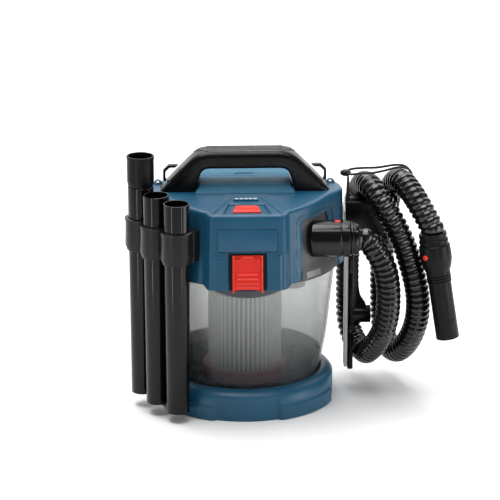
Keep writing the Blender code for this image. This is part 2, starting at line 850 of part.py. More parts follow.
def make_clip():
    """Three open sleeves in a row, webbed together and shaped to the head's side."""
    sleeves = [turned(((CLIP_R, CLIP_LOW_Z), (CLIP_R, CLIP_TOP_Z)), False, 18, (x, y)) for x, y, _ in WANDS]
    body = finish("wand_clip", sleeves[0], black, storage_group)
    boolean(body, cutter("clip_sleeve_2", sleeves[1]), "UNION")
    boolean(body, cutter("clip_sleeve_3", sleeves[2]), "UNION")
    for i in range(2):
        a, b = Vector(WANDS[i][:2]), Vector(WANDS[i + 1][:2])
        across = (b - a).normalized().orthogonal() * 0.012
        outline = [tuple(a - across), tuple(b - across), tuple(b + across), tuple(a + across)]
        web = extruded(outline, "Z", CLIP_LOW_Z + 0.004, CLIP_TOP_Z - 0.004)
        boolean(body, cutter(f"clip_web_{i}", web), "UNION")
    tab = (
        (-0.1400, -0.1020),
        (-0.1060, -0.1270),
        (-0.0800, -0.1270),
        (-0.0720, -0.1180),
        (-0.1180, -0.0740),
    )
    boolean(body, cutter("clip_tab", extruded(tab, "Z", CLIP_LOW_Z, CLIP_TOP_Z - 0.002)), "UNION")
    head = [[(x, y, z) for x, y in head_outline(z, -GAP)] for z in (0.240, 0.280, 0.320)]
    boolean(body, cutter("clip_back_cut", lofted(head)))
    for i, (x, y, base_z) in enumerate(WANDS, 1):
        low, high = CLIP_LOW_Z - 0.005, CLIP_TOP_Z + 0.005
        slack = 0.0006
        bore = ((taper_at(base_z, low) + slack, low), (taper_at(base_z, high) + slack, high))
        boolean(body, cutter(f"clip_bore_{i}_cut", turned(bore, False, 18, (x, y))))


def make_bracket():
    """The side bracket: a saddle for the hose loops, cheeks for the nozzle's end and a strap knob."""
    saddle = (
        (0.0, 0.2590),
        (0.0500, 0.2590),
        (0.0500, 0.2870),
        (0.0460, 0.2945),
        (0.0380, 0.3030),
        (0.0315, 0.3080),
        (0.0260, 0.3110),
        (0.0180, BRACKET_Z),
        (0.0100, BRACKET_Z - 0.0008),
        (0.0, 0.3085),
    )
    body = finish("hose_bracket", extruded(saddle, "X", BRACKET_X, BRACKET_END_X), black, storage_group)
    slack = 0.001
    low = (BRACKET_X - 0.015, NOZZLE_Y[0] - slack, 0.2400)
    high = (BRACKET_END_X + 0.015, NOZZLE_Y[1] + slack, NOZZLE_Z[1] + 2 * slack)
    boolean(body, cutter("nozzle_pocket_cut", block(low, high)))
    post = ((0.1570, 0.3065), (0.1640, 0.3065), (0.1620, 0.3500), (0.1590, 0.3500))
    boolean(body, cutter("post", extruded(post, "Y", 0.0020, 0.0090)), "UNION")
    knob = ((0.0030, 0.3504), (0.0075, 0.3520), (0.0085, 0.3550), (0.0070, 0.3585), (0.0030, 0.3600))
    stud = turned(knob, False, 16, (BRACKET_X, 0.0055))
    finish("strap_knob", stud, soft_black, storage_group)


def make_nozzle():
    """The floor nozzle, stood on its end, with its neck to the right and its felt to the tank."""
    low = (NOZZLE_X[0] + 0.0055, NOZZLE_Y[0], NOZZLE_Z[0])
    high = (NOZZLE_X[1], NOZZLE_Y[1], NOZZLE_Z[1])
    middle_y = (NOZZLE_Y[0] + NOZZLE_Y[1]) / 2
    bar = block(low, high, 0.0025, 2)
    shell = finish("floor_nozzle", bar, black, storage_group, (NOZZLE_X[1], middle_y, NECK_Z))
    neck = turned(((0.0130, 0.0), (0.0138, 0.004), (0.0138, 0.030)), False, 24)
    lay_along(neck, (NOZZLE_X[1] - 0.0025, middle_y, NECK_Z), (1, 0, 0))
    boolean(shell, cutter("nozzle_neck", neck), "UNION")
    bore = turned(((0.0112, 0.0), (0.0112, 0.060)), False, 24)
    lay_along(bore, (NOZZLE_X[0] + 0.0085, middle_y, NECK_Z), (1, 0, 0))
    boolean(shell, cutter("nozzle_bore_cut", bore))
    strip = block((NOZZLE_X[0], NOZZLE_Y[0] + 0.002, NOZZLE_Z[0] + 0.004),
                  (NOZZLE_X[0] + 0.0052, NOZZLE_Y[1] - 0.002, NOZZLE_Z[1] - 0.004), 0.001)
    finish("nozzle_felt", strip, felt, storage_group)


def spline_points(route, step):
    """Points at even steps along the smooth curve through a route."""
    ends = [2 * route[0] - route[1], *route, 2 * route[-1] - route[-2]]
    fine = []
    for i in range(1, len(ends) - 2):
        a, b, c, d = ends[i - 1 : i + 3]
        for k in range(16):
            t = k / 16
            square, cube = 2 * a - 5 * b + 4 * c - d, 3 * b - a - 3 * c + d
            fine.append(0.5 * (2 * b + (c - a) * t + square * t**2 + cube * t**3))
    fine.append(route[-1])
    total = sum((b - a).length for a, b in zip(fine, fine[1:]))
    count = round(total / step)
    spaced, walked, wanted = [fine[0]], 0.0, total / count
    for a, b in zip(fine, fine[1:]):
        run = (b - a).length
        while walked + run >= wanted * len(spaced) and len(spaced) < count:
            spaced.append(a.lerp(b, (wanted * len(spaced) - walked) / run))
        walked += run
    return spaced + [fine[-1]]


def tube_curve(name, points, radius, resolution, finish_of, parent):
    data = bpy.data.curves.new(name, "CURVE")
    data.dimensions = "3D"
    data.bevel_depth = radius
    data.bevel_resolution = resolution
    data.use_fill_caps = True
    line = data.splines.new("POLY")
    line.points.add(len(points) - 1)
    for spot, point in zip(line.points, points):
        spot.co = (*point, 1.0)
    data.materials.append(finish_of)
    made = bpy.data.objects.new(name, data)
    made.parent = parent
    bpy.context.scene.collection.objects.link(made)
    return made


def make_hose():
    route = [Vector(point) for point in HOSE_ROUTE]
    points = [route[0], *spline_points(route[1:-1], HOSE_STEP), route[-1]]
    tube_curve("hose", points, HOSE_D / 2, 2, black, storage_group)
    start = points[-1]
    along = (points[-1] - points[-2]).normalized()
    make_grip(start, along)


def make_grip(start, along):
    """The handle tube at the hose's end, with its small red button."""
    profile = (
        (0.0150, GAP),
        (0.0215, GAP),
        (0.0225, 0.010),
        (0.0238, 0.016),
        (0.0245, 0.040),
        (0.0225, 0.052),
        (0.0185, 0.062),
        (0.0175, 0.070),
        (0.0178, GRIP_LENGTH),
        (0.0152, GRIP_LENGTH),
        (0.0150, 0.066),
    )
    body = lay_along(turned(profile), start, along)
    grip = finish("hose_grip", body, soft_black, storage_group, tuple(start))
    side = Vector((-0.70, -0.71, 0.0))
    side = (side - along * side.dot(along)).normalized()
    spot = start + along * 0.034
    pocket = turned(((0.0048, 0.0180), (0.0048, 0.0300)), False, 16)
    boolean(grip, cutter("grip_button_cut", lay_along(pocket, tuple(spot), side)))
    cap = turned(((0.0042, 0.0203), (0.0042, 0.0262), (0.0032, 0.0270)), False, 16)
    lay_along(cap, tuple(spot), side)
    finish("grip_button", cap, red, storage_group, tuple(spot + side * 0.0203))


def make_strap():
    """The elastic strap from the knob, over the hose loops, to the bracket's outer end."""
    route = (
        (0.1565, 0.0160, 0.3545),
        (0.1720, 0.0190, 0.3590),
        (0.1880, 0.0200, 0.3600),
        (0.2120, 0.0205, 0.3620),
        (0.2400, 0.0210, 0.3625),
        (0.2600, 0.0230, 0.3540),
        (0.2655, 0.0240, 0.3370),
        (0.2580, 0.0240, 0.3180),
        (0.2400, 0.0240, 0.3110),
    )
    points = spline_points([Vector(point) for point in route], 0.010)
    tube_curve("hose_strap", points, 0.0020, 2, rubber, storage_group)


make_base()
make_tank()
make_head_shell()
make_port_panel()
make_front_parts()
make_latches()
make_handle()
make_strap_loops()
make_top_covers()
make_battery()
make_head_base()
make_motor()
make_filter()
make_float()
make_port()
make_connector()
make_wands()
make_clip()
make_bracket()
make_nozzle()
make_hose()
make_strap()
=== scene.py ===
"""The finished surfaces of the cordless shop vacuum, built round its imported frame.

Metres, +Z up. The front, with its latch and power button, faces -Y, and the hose port is on +X.
"""

import math

import bmesh
import bpy
from mathutils import Matrix, Vector


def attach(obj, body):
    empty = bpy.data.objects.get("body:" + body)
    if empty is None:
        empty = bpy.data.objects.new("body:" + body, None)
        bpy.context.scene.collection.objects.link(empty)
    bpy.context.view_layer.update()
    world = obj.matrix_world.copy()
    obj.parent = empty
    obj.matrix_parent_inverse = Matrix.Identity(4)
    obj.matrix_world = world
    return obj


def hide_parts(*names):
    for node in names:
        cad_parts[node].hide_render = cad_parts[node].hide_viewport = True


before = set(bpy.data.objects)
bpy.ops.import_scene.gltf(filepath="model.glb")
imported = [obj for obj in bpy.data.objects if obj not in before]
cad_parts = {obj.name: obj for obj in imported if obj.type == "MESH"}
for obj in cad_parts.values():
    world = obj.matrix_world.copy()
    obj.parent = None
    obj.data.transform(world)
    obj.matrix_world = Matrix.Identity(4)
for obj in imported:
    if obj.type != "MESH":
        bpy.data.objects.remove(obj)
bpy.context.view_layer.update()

CAMERA_SPOT = (-0.1256, -3.998, 1.5115)
CAMERA_HEADING = (0.03345, 0.99944)
CAMERA_PITCH = math.radians(17.73)
CAMERA_LENS = 193.9

HEAD_FRONT_Z = 0.214
HEAD_SIDE_Z = 0.220
HEAD_SHOULDER_Z = 0.324
HEAD_TOP_Z = 0.334
HEAD_WALL = 0.0032
TOP_FALL = 0.069
WELL_Y = -0.041
FRONT_LOW_Y = 0.1455
FRONT_HIGH_Y = 0.1300
FRONT_HALF = 0.060
RECESS_X = 0.084
RECESS_Y = -0.044
RECESS_TOP_Z = 0.309

LATCH_HALF = 0.023
LATCH_TOP_Z = 0.268
LATCH_LOW_Z = 0.2145
POCKET_HALF = 0.0285
POCKET_TOP_Z = 0.2708
LEDGE_Z = 0.2650
PLATE_HALF = 0.0452
PLATE_LOW_Z = 0.2728
PLATE_TOP_Z = 0.3072

PORT_Y = -0.080
PORT_Z = 0.275
PORT_R = 0.028
PORT_END_X = 0.158
PORT_ROOT_X = 0.060

BASE_R = 0.145
BASE_FACET_R = 0.1384
BASE_BAND_Z = 0.021
BASE_TOP_Z = 0.047
BASE_TOP_R = 0.121
FACET_HALF_ANGLE = math.radians(19.5)
FACET_END_ANGLE = math.radians(22.3)
FACET_BLEND = 0.0006
TANK_WALL = 0.0025

HANDLE_HALF = 0.022
HANDLE_EDGE = 0.0105
HANDLE_INNER_EDGE = 0.0045
WANDS = ((-0.1605, -0.053, 0.0207), (-0.1372, -0.0937, 0.0183), (-0.1066, -0.1278, 0.0145))
WAND_LENGTH = 0.333
WAND_TOP_R = 0.0198
WAND_LOW_R = 0.0180
WAND_WALL = 0.0020
CLIP_LOW_Z = 0.254
CLIP_TOP_Z = 0.305
CLIP_R = 0.0245

HOSE_D = 0.038
HOSE_PITCH = 0.0098
HOSE_DEPTH = 0.0026
HOSE_ROUTE = (
    (0.1720, -0.080, 0.275), (0.1790, -0.080, 0.275), (0.188, -0.080, 0.270),
    (0.198, -0.080, 0.255), (0.211, -0.078, 0.231), (0.218, -0.074, 0.201), (0.220, -0.068, 0.171),
    (0.219, -0.060, 0.143), (0.214, -0.048, 0.114), (0.205, -0.029, 0.087), (0.196, -0.004, 0.066),
    (0.193, 0.020, 0.055), (0.190, 0.042, 0.050), (0.182, 0.062, 0.053), (0.174, 0.080, 0.066),
    (0.169, 0.092, 0.088), (0.168, 0.098, 0.114), (0.168, 0.100, 0.145), (0.168, 0.100, 0.180),
    (0.171, 0.098, 0.220), (0.175, 0.090, 0.262), (0.180, 0.072, 0.297), (0.185, 0.046, 0.323),
    (0.189, 0.018, 0.3345), (0.195, -0.009, 0.336), (0.204, -0.029, 0.327), (0.216, -0.040, 0.309),
    (0.230, -0.046, 0.286), (0.244, -0.049, 0.256), (0.255, -0.050, 0.222), (0.264, -0.049, 0.188),
    (0.268, -0.044, 0.156), (0.267, -0.035, 0.126), (0.261, -0.023, 0.098), (0.252, -0.003, 0.073),
    (0.242, 0.022, 0.056), (0.233, 0.050, 0.053), (0.227, 0.075, 0.064), (0.224, 0.092, 0.089),
    (0.223, 0.100, 0.128), (0.223, 0.102, 0.171), (0.225, 0.100, 0.215), (0.228, 0.091, 0.260),
    (0.231, 0.073, 0.299), (0.235, 0.049, 0.324), (0.240, 0.022, 0.337), (0.247, -0.004, 0.340),
    (0.2555, -0.024, 0.333), (0.2658, -0.043, 0.3195), (0.2760, -0.056, 0.3025),
    (0.2851, -0.0636, 0.2855), (0.2862, -0.0640, 0.2785),
)
NECK_YZ = (0.022, 0.118)
GRIP_LENGTH = 0.170
GRIP_BUTTON_AT = 0.034

# The head's outline from the front middle to the back middle: x and y at the rim, then at the shoulder.
HEAD_HALF = (
    (0.0, -0.1455, 0.0, -0.1300), (0.0300, -0.1451, 0.0280, -0.1297),
    (0.0545, -0.1440, 0.0520, -0.1290), (0.0600, -0.1400, 0.0575, -0.1258),
    (0.0667, -0.1309, 0.0635, -0.1140), (0.0752, -0.1257, 0.0720, -0.1075),
    (0.0859, -0.1187, 0.0805, -0.1003), (0.0949, -0.1116, 0.0890, -0.0925),
    (0.1045, -0.1028, 0.0970, -0.0842), (0.1172, -0.0879, 0.1080, -0.0700),
    (0.1293, -0.0692, 0.1190, -0.0530), (0.1390, -0.0480, 0.1310, -0.0355),
    (0.1500, -0.0280, 0.1440, -0.0215), (0.1545, -0.0100, 0.1505, -0.0090),
    (0.1550, 0.0100, 0.1515, 0.0090), (0.1520, 0.0300, 0.1480, 0.0260),
    (0.1430, 0.0500, 0.1370, 0.0430), (0.1303, 0.0692, 0.1210, 0.0600),
    (0.1045, 0.1028, 0.0970, 0.0842), (0.0859, 0.1187, 0.0805, 0.1003),
    (0.0667, 0.1309, 0.0635, 0.1140), (0.0600, 0.1400, 0.0575, 0.1258),
    (0.0545, 0.1440, 0.0520, 0.1290), (0.0300, 0.1451, 0.0280, 0.1297), (0.0, 0.1455, 0.0, 0.1300),
)


# An ear beside each strap loop, as x and z.
EAR = (
    (0.1270, 0.3270), (0.1270, 0.3350), (0.1310, 0.3400), (0.1375, 0.3400), (0.1415, 0.3350),
    (0.1430, 0.3270),
)


# Shape helpers.
def smooth_step(value, edge, width):
    """0 below an edge and 1 above it, turning smoothly over a width."""
    share = min(max((value - edge) / width + 0.5, 0.0), 1.0)
    return share * share * (3.0 - 2.0 * share)


def softened(outline, radius, steps=4, closed=True):
    """A flat outline with each corner turned into a short curve."""
    points = [Vector(point) for point in outline]
    count = len(points)
    made = []
    for i, corner in enumerate(points):
        if not closed and i in (0, count - 1):
            made.append(corner)
            continue
        before, after = points[i - 1] - corner, points[(i + 1) % count] - corner
        reach = min(radius, 0.45 * before.length, 0.45 * after.length)
        start, end = corner + before.normalized() * reach, corner + after.normalized() * reach
        for k in range(steps + 1):
            t = k / steps
            made.append(start * (1 - t) ** 2 + corner * 2 * t * (1 - t) + end * t**2)
    return [tuple(point) for point in made]


def catmull(points, per_span):
    """Points along the smooth curve through the given ones, with a count for each span."""
    points = [Vector(point) for point in points]
    ends = [2 * points[0] - points[1], *points, 2 * points[-1] - points[-2]]
    made = []
    for i in range(1, len(ends) - 2):
        a, b, c, d = ends[i - 1 : i + 3]
        count = per_span(b, c) if callable(per_span) else per_span
        for k in range(count):
            t = k / count
            bend = 2 * a - 5 * b + 4 * c - d
            twist = 3 * b - a - 3 * c + d
            made.append(0.5 * (2 * b + (c - a) * t + bend * t**2 + twist * t**3))
    return made + [points[-1]]


def grid_mesh(rows, wrap_rows=False, caps=True):
    """A bmesh through closed rings of equally many points, capped at its ends or joined into a ring."""
    mesh = bmesh.new()
    made = [[mesh.verts.new(point) for point in row] for row in rows]
    pairs = list(zip(made, made[1:]))
    if wrap_rows:
        pairs.append((made[-1], made[0]))
    for low, high in pairs:
        for i in range(len(low)):
            j = (i + 1) % len(low)
            mesh.faces.new((low[i], low[j], high[j], high[i]))
    if caps and not wrap_rows:
        mesh.faces.new(made[0][::-1])
        mesh.faces.new(made[-1])
    return mesh


def ring(radius, height, sides, centre=(0.0, 0.0)):
    turn = 2 * math.pi / sides
    return [
        (centre[0] + radius * math.cos(i * turn), centre[1] + radius * math.sin(i * turn), height)
        for i in range(sides)
    ]


def turned(profile, sides=72, centre=(0.0, 0.0), hollow=True):
    return grid_mesh([ring(r, z, sides, centre) for r, z in profile], wrap_rows=hollow)


def lay_along(mesh, start, direction):
    """Turns a bmesh drawn up +Z from the origin so that it runs from start along direction."""
    turn = Vector((0.0, 0.0, 1.0)).rotation_difference(Vector(direction)).to_matrix().to_4x4()
    bmesh.ops.transform(mesh, matrix=Matrix.Translation(start) @ turn, verts=mesh.verts)
    return mesh


def prism(outline, axis, low, high, edge=0.0, steps=3):
    """A flat outline pushed along an axis, with the edges of its two ends rounded."""

    def at(point, level):
        spot = list(point)
        spot.insert("XYZ".index(axis), level)
        return spot

    mesh = grid_mesh([[at(point, low) for point in outline], [at(point, high) for point in outline]])
    bmesh.ops.recalc_face_normals(mesh, faces=mesh.faces)
    if edge:
        rims = {e for face in mesh.faces if len(face.verts) > 4 for e in face.edges}
        if len(outline) == 4:
            rims = set(mesh.edges)
        rounding = {"offset": edge, "segments": steps, "profile": 0.5, "affect": "EDGES"}
        bmesh.ops.bevel(mesh, geom=list(rims), clamp_overlap=True, **rounding)
    return mesh


def block(low, high, edge=0.0, steps=3):
    outline = ((low[0], low[1]), (high[0], low[1]), (high[0], high[1]), (low[0], high[1]))
    return prism(outline, "Z", low[2], high[2], edge, steps)


def made_object(name, mesh, angle=38.0):
    """An object from a bmesh drawn in its place."""
    bmesh.ops.remove_doubles(mesh, verts=mesh.verts, dist=1e-6)
    bmesh.ops.recalc_face_normals(mesh, faces=mesh.faces)
    data = bpy.data.meshes.new(name)
    mesh.to_mesh(data)
    mesh.free()
    data.shade_smooth()
    data.set_sharp_from_angle(angle=math.radians(angle))
    made = bpy.data.objects.new(name, data)
    bpy.context.scene.collection.objects.link(made)
    return made


def settled(made):
    """Applies an object's modifiers and leaves a plain mesh."""
    graph = bpy.context.evaluated_depsgraph_get()
    graph.update()
    data = bpy.data.meshes.new_from_object(made.evaluated_get(graph), depsgraph=graph)
    made.modifiers.clear()
    made.data = data
    return made


def cut(made, tools, operation="DIFFERENCE", solver="MANIFOLD"):
    """Joins shapes to an object or cuts them from it, then removes the shapes."""
    for i, tool in enumerate(tools):
        other = made_object(f"tool_{i}", tool)
        step = made.modifiers.new("shape", "BOOLEAN")
        step.operation = operation
        step.solver = solver
        step.object = other
        settled(made)
        bpy.data.objects.remove(other)
    return made


def edged(made, width, steps=2, angle=35.0):
    """Rounds an object's sharp edges."""
    step = made.modifiers.new("edge", "BEVEL")
    step.width = width
    step.segments = steps
    step.limit_method = "ANGLE"
    step.angle_limit = math.radians(angle)
    step.use_clamp_overlap = True
    settled(made)
    made.data.shade_smooth()
    made.data.set_sharp_from_angle(angle=math.radians(angle))
    return made


def joined(name, meshes):
    """One object from several bmeshes, each kept as a closed body."""
    whole = bmesh.new()
    for mesh in meshes:
        bmesh.ops.recalc_face_normals(mesh, faces=mesh.faces)
        part = bpy.data.meshes.new("part")
        mesh.to_mesh(part)
        mesh.free()
        whole.from_mesh(part)
        bpy.data.meshes.remove(part)
    return made_object(name, whole)


def fit(made, finish, body, slot, *nodes):
    """Gives a piece its finish and its body, and hides the nodes it stands for. The slot is not used."""
    made.data.materials.clear()
    made.data.materials.append(finish)
    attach(made, body)
    if nodes:
        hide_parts(*nodes)
    return made


# Geometry Nodes: copies round an axis, copies in a row, and a corrugated tube along a curve.
def node_tree(name, inputs):
    tree = bpy.data.node_groups.new(name, "GeometryNodeTree")
    tree.interface.new_socket("Geometry", in_out="OUTPUT", socket_type="NodeSocketGeometry")
    tree.interface.new_socket("Geometry", in_out="INPUT", socket_type="NodeSocketGeometry")
    for label, kind in inputs:
        tree.interface.new_socket(label, in_out="INPUT", socket_type=f"NodeSocket{kind}")
    return tree, tree.nodes.new("NodeGroupInput"), tree.nodes.new("NodeGroupOutput")


def maths(tree, operation, first, second=None):
    """A maths node fed by sockets or plain numbers. It gives its output socket."""
    node = tree.nodes.new("ShaderNodeMath")
    node.operation = operation
    for slot, value in zip(node.inputs, (first, second)):
        if isinstance(value, (int, float)):
            slot.default_value = value
        elif value is not None:
            tree.links.new(value, slot)
    return node.outputs[0]


def close_tree(tree, geometry, finish, end):
    """Realises the copies, gives them their material and ends the tree."""
    real = tree.nodes.new("GeometryNodeRealizeInstances")
    paint = tree.nodes.new("GeometryNodeSetMaterial")
    tree.links.new(geometry, real.inputs["Geometry"])
    tree.links.new(real.outputs["Geometry"], paint.inputs["Geometry"])
    tree.links.new(finish, paint.inputs["Material"])
    tree.links.new(paint.outputs["Geometry"], end.inputs["Geometry"])


def round_copies_tree():
    tree, start, end = node_tree("round_copies", (("Count", "Int"), ("Finish", "Material")))
    points = tree.nodes.new("GeometryNodePoints")
    index = tree.nodes.new("GeometryNodeInputIndex")
    turn = tree.nodes.new("ShaderNodeCombineXYZ")
    copies = tree.nodes.new("GeometryNodeInstanceOnPoints")
    share = maths(tree, "DIVIDE", index.outputs["Index"], start.outputs["Count"])
    tree.links.new(maths(tree, "MULTIPLY", share, 2 * math.pi), turn.inputs["Z"])
    tree.links.new(start.outputs["Count"], points.inputs["Count"])
    tree.links.new(points.outputs["Geometry"], copies.inputs["Points"])
    tree.links.new(start.outputs["Geometry"], copies.inputs["Instance"])
    tree.links.new(turn.outputs["Vector"], copies.inputs["Rotation"])
    close_tree(tree, copies.outputs["Instances"], start.outputs["Finish"], end)
    return tree


def row_copies_tree():
    tree, start, end = node_tree("row_copies", (("Count", "Int"), ("Step", "Vector"), ("Finish", "Material")))
    line = tree.nodes.new("GeometryNodeMeshLine")
    copies = tree.nodes.new("GeometryNodeInstanceOnPoints")
    tree.links.new(start.outputs["Count"], line.inputs["Count"])
    tree.links.new(start.outputs["Step"], line.inputs["Offset"])
    tree.links.new(line.outputs["Mesh"], copies.inputs["Points"])
    tree.links.new(start.outputs["Geometry"], copies.inputs["Instance"])
    close_tree(tree, copies.outputs["Instances"], start.outputs["Finish"], end)
    return tree


def corrugated_tree():
    sizes = (("Radius", "Float"), ("Pitch", "Float"), ("Depth", "Float"))
    tree, start, end = node_tree("corrugated_tube", (*sizes, ("Sides", "Int"), ("Finish", "Material")))
    spaced = tree.nodes.new("GeometryNodeResampleCurve")
    spaced.mode = "LENGTH"
    along = tree.nodes.new("GeometryNodeSplineParameter")
    widths = tree.nodes.new("GeometryNodeSetCurveRadius")
    hoop = tree.nodes.new("GeometryNodeCurvePrimitiveCircle")
    tube = tree.nodes.new("GeometryNodeCurveToMesh")
    hoop.inputs["Radius"].default_value = 1.0
    tube.inputs["Fill Caps"].default_value = True
    turns = maths(tree, "DIVIDE", along.outputs["Length"], start.outputs["Pitch"])
    wave = maths(tree, "COSINE", maths(tree, "MULTIPLY", turns, 2 * math.pi))
    crest = maths(tree, "MULTIPLY", maths(tree, "SUBTRACT", 1.0, wave), 0.5)
    dip = maths(tree, "MULTIPLY", maths(tree, "POWER", crest, 2.2), start.outputs["Depth"])
    tree.links.new(maths(tree, "DIVIDE", start.outputs["Pitch"], 8.0), spaced.inputs["Length"])
    tree.links.new(start.outputs["Geometry"], spaced.inputs["Curve"])
    tree.links.new(spaced.outputs["Curve"], widths.inputs["Curve"])
    tree.links.new(maths(tree, "SUBTRACT", start.outputs["Radius"], dip), widths.inputs["Radius"])
    tree.links.new(start.outputs["Sides"], hoop.inputs["Resolution"])
    tree.links.new(widths.outputs["Curve"], tube.inputs["Curve"])
    tree.links.new(hoop.outputs["Curve"], tube.inputs["Profile Curve"])
    if "Scale" in tube.inputs:
        radius = tree.nodes.new("GeometryNodeInputRadius")
        tree.links.new(radius.outputs["Radius"], tube.inputs["Scale"])
    close_tree(tree, tube.outputs["Mesh"], start.outputs["Finish"], end)
    return tree


def grown(made, tree, values, angle=38.0):
    """Runs a tree on an object with named inputs, and leaves a plain mesh."""
    step = made.modifiers.new(tree.name, "NODES")
    step.node_group = tree
    for item in tree.interface.items_tree:
        if item.in_out == "INPUT" and item.name in values:
            step[item.identifier] = values[item.name]
    graph = bpy.context.evaluated_depsgraph_get()
    graph.update()
    data = bpy.data.meshes.new_from_object(made.evaluated_get(graph), depsgraph=graph)
    name = made.name
    bpy.data.objects.remove(made)
    data.shade_smooth()
    data.set_sharp_from_angle(angle=math.radians(angle))
    fresh = bpy.data.objects.new(name, data)
    bpy.context.scene.collection.objects.link(fresh)
    return fresh


def merged(made, *others):
    """Adds the meshes of other objects to an object."""
    whole = bmesh.new()
    for each in (made, *others):
        whole.from_mesh(each.data)
    whole.to_mesh(made.data)
    whole.free()
    for other in others:
        bpy.data.objects.remove(other)
    return made


# Materials.
def noise(tree, scale, detail=3.0):
    place = tree.nodes.new("ShaderNodeTexCoord")
    made = tree.nodes.new("ShaderNodeTexNoise")
    made.inputs["Scale"].default_value = scale
    made.inputs["Detail"].default_value = detail
    tree.links.new(place.outputs["Object"], made.inputs["Vector"])
    return made.outputs["Fac"]


def spread(tree, value, low, high, from_low=0.3, from_high=0.7):
    made = tree.nodes.new("ShaderNodeMapRange")
    made.inputs["From Min"].default_value = from_low
    made.inputs["From Max"].default_value = from_high
    made.inputs["To Min"].default_value = low
    made.inputs["To Max"].default_value = high
    tree.links.new(value, made.inputs["Value"])
    return made.outputs["Result"]


def blended(tree, factor, first, second):
    """Mixes two colours, each a tuple or a socket."""
    made = tree.nodes.new("ShaderNodeMix")
    made.data_type = "RGBA"
    tree.links.new(factor, made.inputs["Factor"])
    for slot, value in ((made.inputs["A"], first), (made.inputs["B"], second)):
        if isinstance(value, tuple):
            slot.default_value = (*value[:3], 1.0)
        else:
            tree.links.new(value, slot)
    return made.outputs["Result"]


def bumped(tree, shader, height, strength, distance):
    made = tree.nodes.new("ShaderNodeBump")
    made.inputs["Strength"].default_value = strength
    made.inputs["Distance"].default_value = distance
    tree.links.new(height, made.inputs["Height"])
    tree.links.new(made.outputs["Normal"], shader.inputs["Normal"])


def plastic(name, colour, rough, grain=1400.0, depth=0.00004, worn=0.0, coat=0.0, specular=0.5):
    """Moulded plastic: a fine grain, faint colour patches, uneven gloss and paler worn edges."""
    made = bpy.data.materials.new(name)
    made.use_nodes = True
    tree = made.node_tree
    shader = tree.nodes["Principled BSDF"]
    shader.inputs["Specular IOR Level"].default_value = specular
    shader.inputs["Coat Weight"].default_value = coat
    shader.inputs["Coat Roughness"].default_value = 0.12
    patches = noise(tree, 14.0)
    darker = tuple(c * 0.93 for c in colour)
    lighter = tuple(min(c * 1.07, 1.0) for c in colour)
    body = blended(tree, spread(tree, patches, 0.0, 1.0), darker, lighter)
    if worn:
        shape = tree.nodes.new("ShaderNodeNewGeometry")
        edges = spread(tree, shape.outputs["Pointiness"], 0.0, worn, 0.52, 0.60)
        pale = tuple(min(c * 2.2 + 0.03, 1.0) for c in colour)
        body = blended(tree, edges, body, pale)
    tree.links.new(body, shader.inputs["Base Color"])
    smudges = noise(tree, 45.0, 5.0)
    tree.links.new(spread(tree, smudges, rough - 0.05, rough + 0.07), shader.inputs["Roughness"])
    bumped(tree, shader, noise(tree, grain, 2.0), 0.5, depth)
    return made


def clear_tank():
    """Smoked translucent plastic: pale near the rim and darker low down as painted shade, with a painted
    shadow low on the back wall and faint flow marks.
    """
    made = bpy.data.materials.new("smoked_tank")
    made.use_nodes = True
    tree = made.node_tree
    shader = tree.nodes["Principled BSDF"]
    shader.inputs["IOR"].default_value = 1.45
    place = tree.nodes.new("ShaderNodeTexCoord")
    split = tree.nodes.new("ShaderNodeSeparateXYZ")
    tree.links.new(place.outputs["Object"], split.inputs["Vector"])
    slant = tree.nodes.new("ShaderNodeLayerWeight")
    slant.inputs["Blend"].default_value = 0.5
    edge = spread(tree, slant.outputs["Facing"], 0.0, 1.0, 0.70, 0.98)
    # Painted shade: the colour darkens towards the bottom of the tank and is pale near the rim.
    height = spread(tree, split.outputs["Z"], 0.0, 1.0, 0.070, 0.205)
    # Painted shadow: a near-black, more opaque band low on the back half of the wall.
    foot = spread(tree, split.outputs["Z"], 1.0, 0.0, 0.0665, 0.0690)
    foot = maths(tree, "MULTIPLY", foot, spread(tree, split.outputs["Y"], 0.0, 1.0, -0.010, 0.010))
    body = blended(tree, height, (0.036, 0.040, 0.045), (0.40, 0.425, 0.405))
    body = blended(tree, edge, body, (0.045, 0.048, 0.050))
    body = blended(tree, foot, body, (0.022, 0.024, 0.027))
    tree.links.new(body, shader.inputs["Base Color"])
    wall = spread(tree, split.outputs["Z"], 0.46, 0.38, 0.055, 0.125)
    wall = maths(tree, "MAXIMUM", wall, spread(tree, foot, 0.0, 0.85, 0.0, 1.0))
    opaque = maths(tree, "MAXIMUM", wall, spread(tree, edge, 0.0, 0.85, 0.0, 1.0))
    tree.links.new(opaque, shader.inputs["Alpha"])
    flow = noise(tree, 30.0, 4.0)
    tree.links.new(spread(tree, flow, 0.20, 0.32), shader.inputs["Roughness"])
    bumped(tree, shader, noise(tree, 60.0, 2.0), 0.2, 0.00002)
    return made


def folded_paper():
    """Filter paper: off-white and fibrous, with painted shade darkening the inner folds."""
    made = bpy.data.materials.new("folded_paper")
    made.use_nodes = True
    tree = made.node_tree
    shader = tree.nodes["Principled BSDF"]
    shader.inputs["Sheen Weight"].default_value = 0.2
    place = tree.nodes.new("ShaderNodeTexCoord")
    level = tree.nodes.new("ShaderNodeVectorMath")
    level.operation = "MULTIPLY"
    level.inputs[1].default_value = (1.0, 1.0, 0.0)
    reach = tree.nodes.new("ShaderNodeVectorMath")
    reach.operation = "LENGTH"
    tree.links.new(place.outputs["Object"], level.inputs[0])
    tree.links.new(level.outputs["Vector"], reach.inputs[0])
    # Painted shade: the inner part of each fold turns near-black.
    fold_shade = spread(tree, reach.outputs["Value"], 0.0, 1.0, 0.0485, 0.0560)
    fibres = noise(tree, 420.0, 6.0)
    white = blended(tree, spread(tree, fibres, 0.0, 1.0), (0.78, 0.79, 0.75), (0.95, 0.95, 0.92))
    tree.links.new(blended(tree, fold_shade, (0.055, 0.06, 0.068), white), shader.inputs["Base Color"])
    shader.inputs["Roughness"].default_value = 0.9
    bumped(tree, shader, fibres, 0.6, 0.0002)
    return made


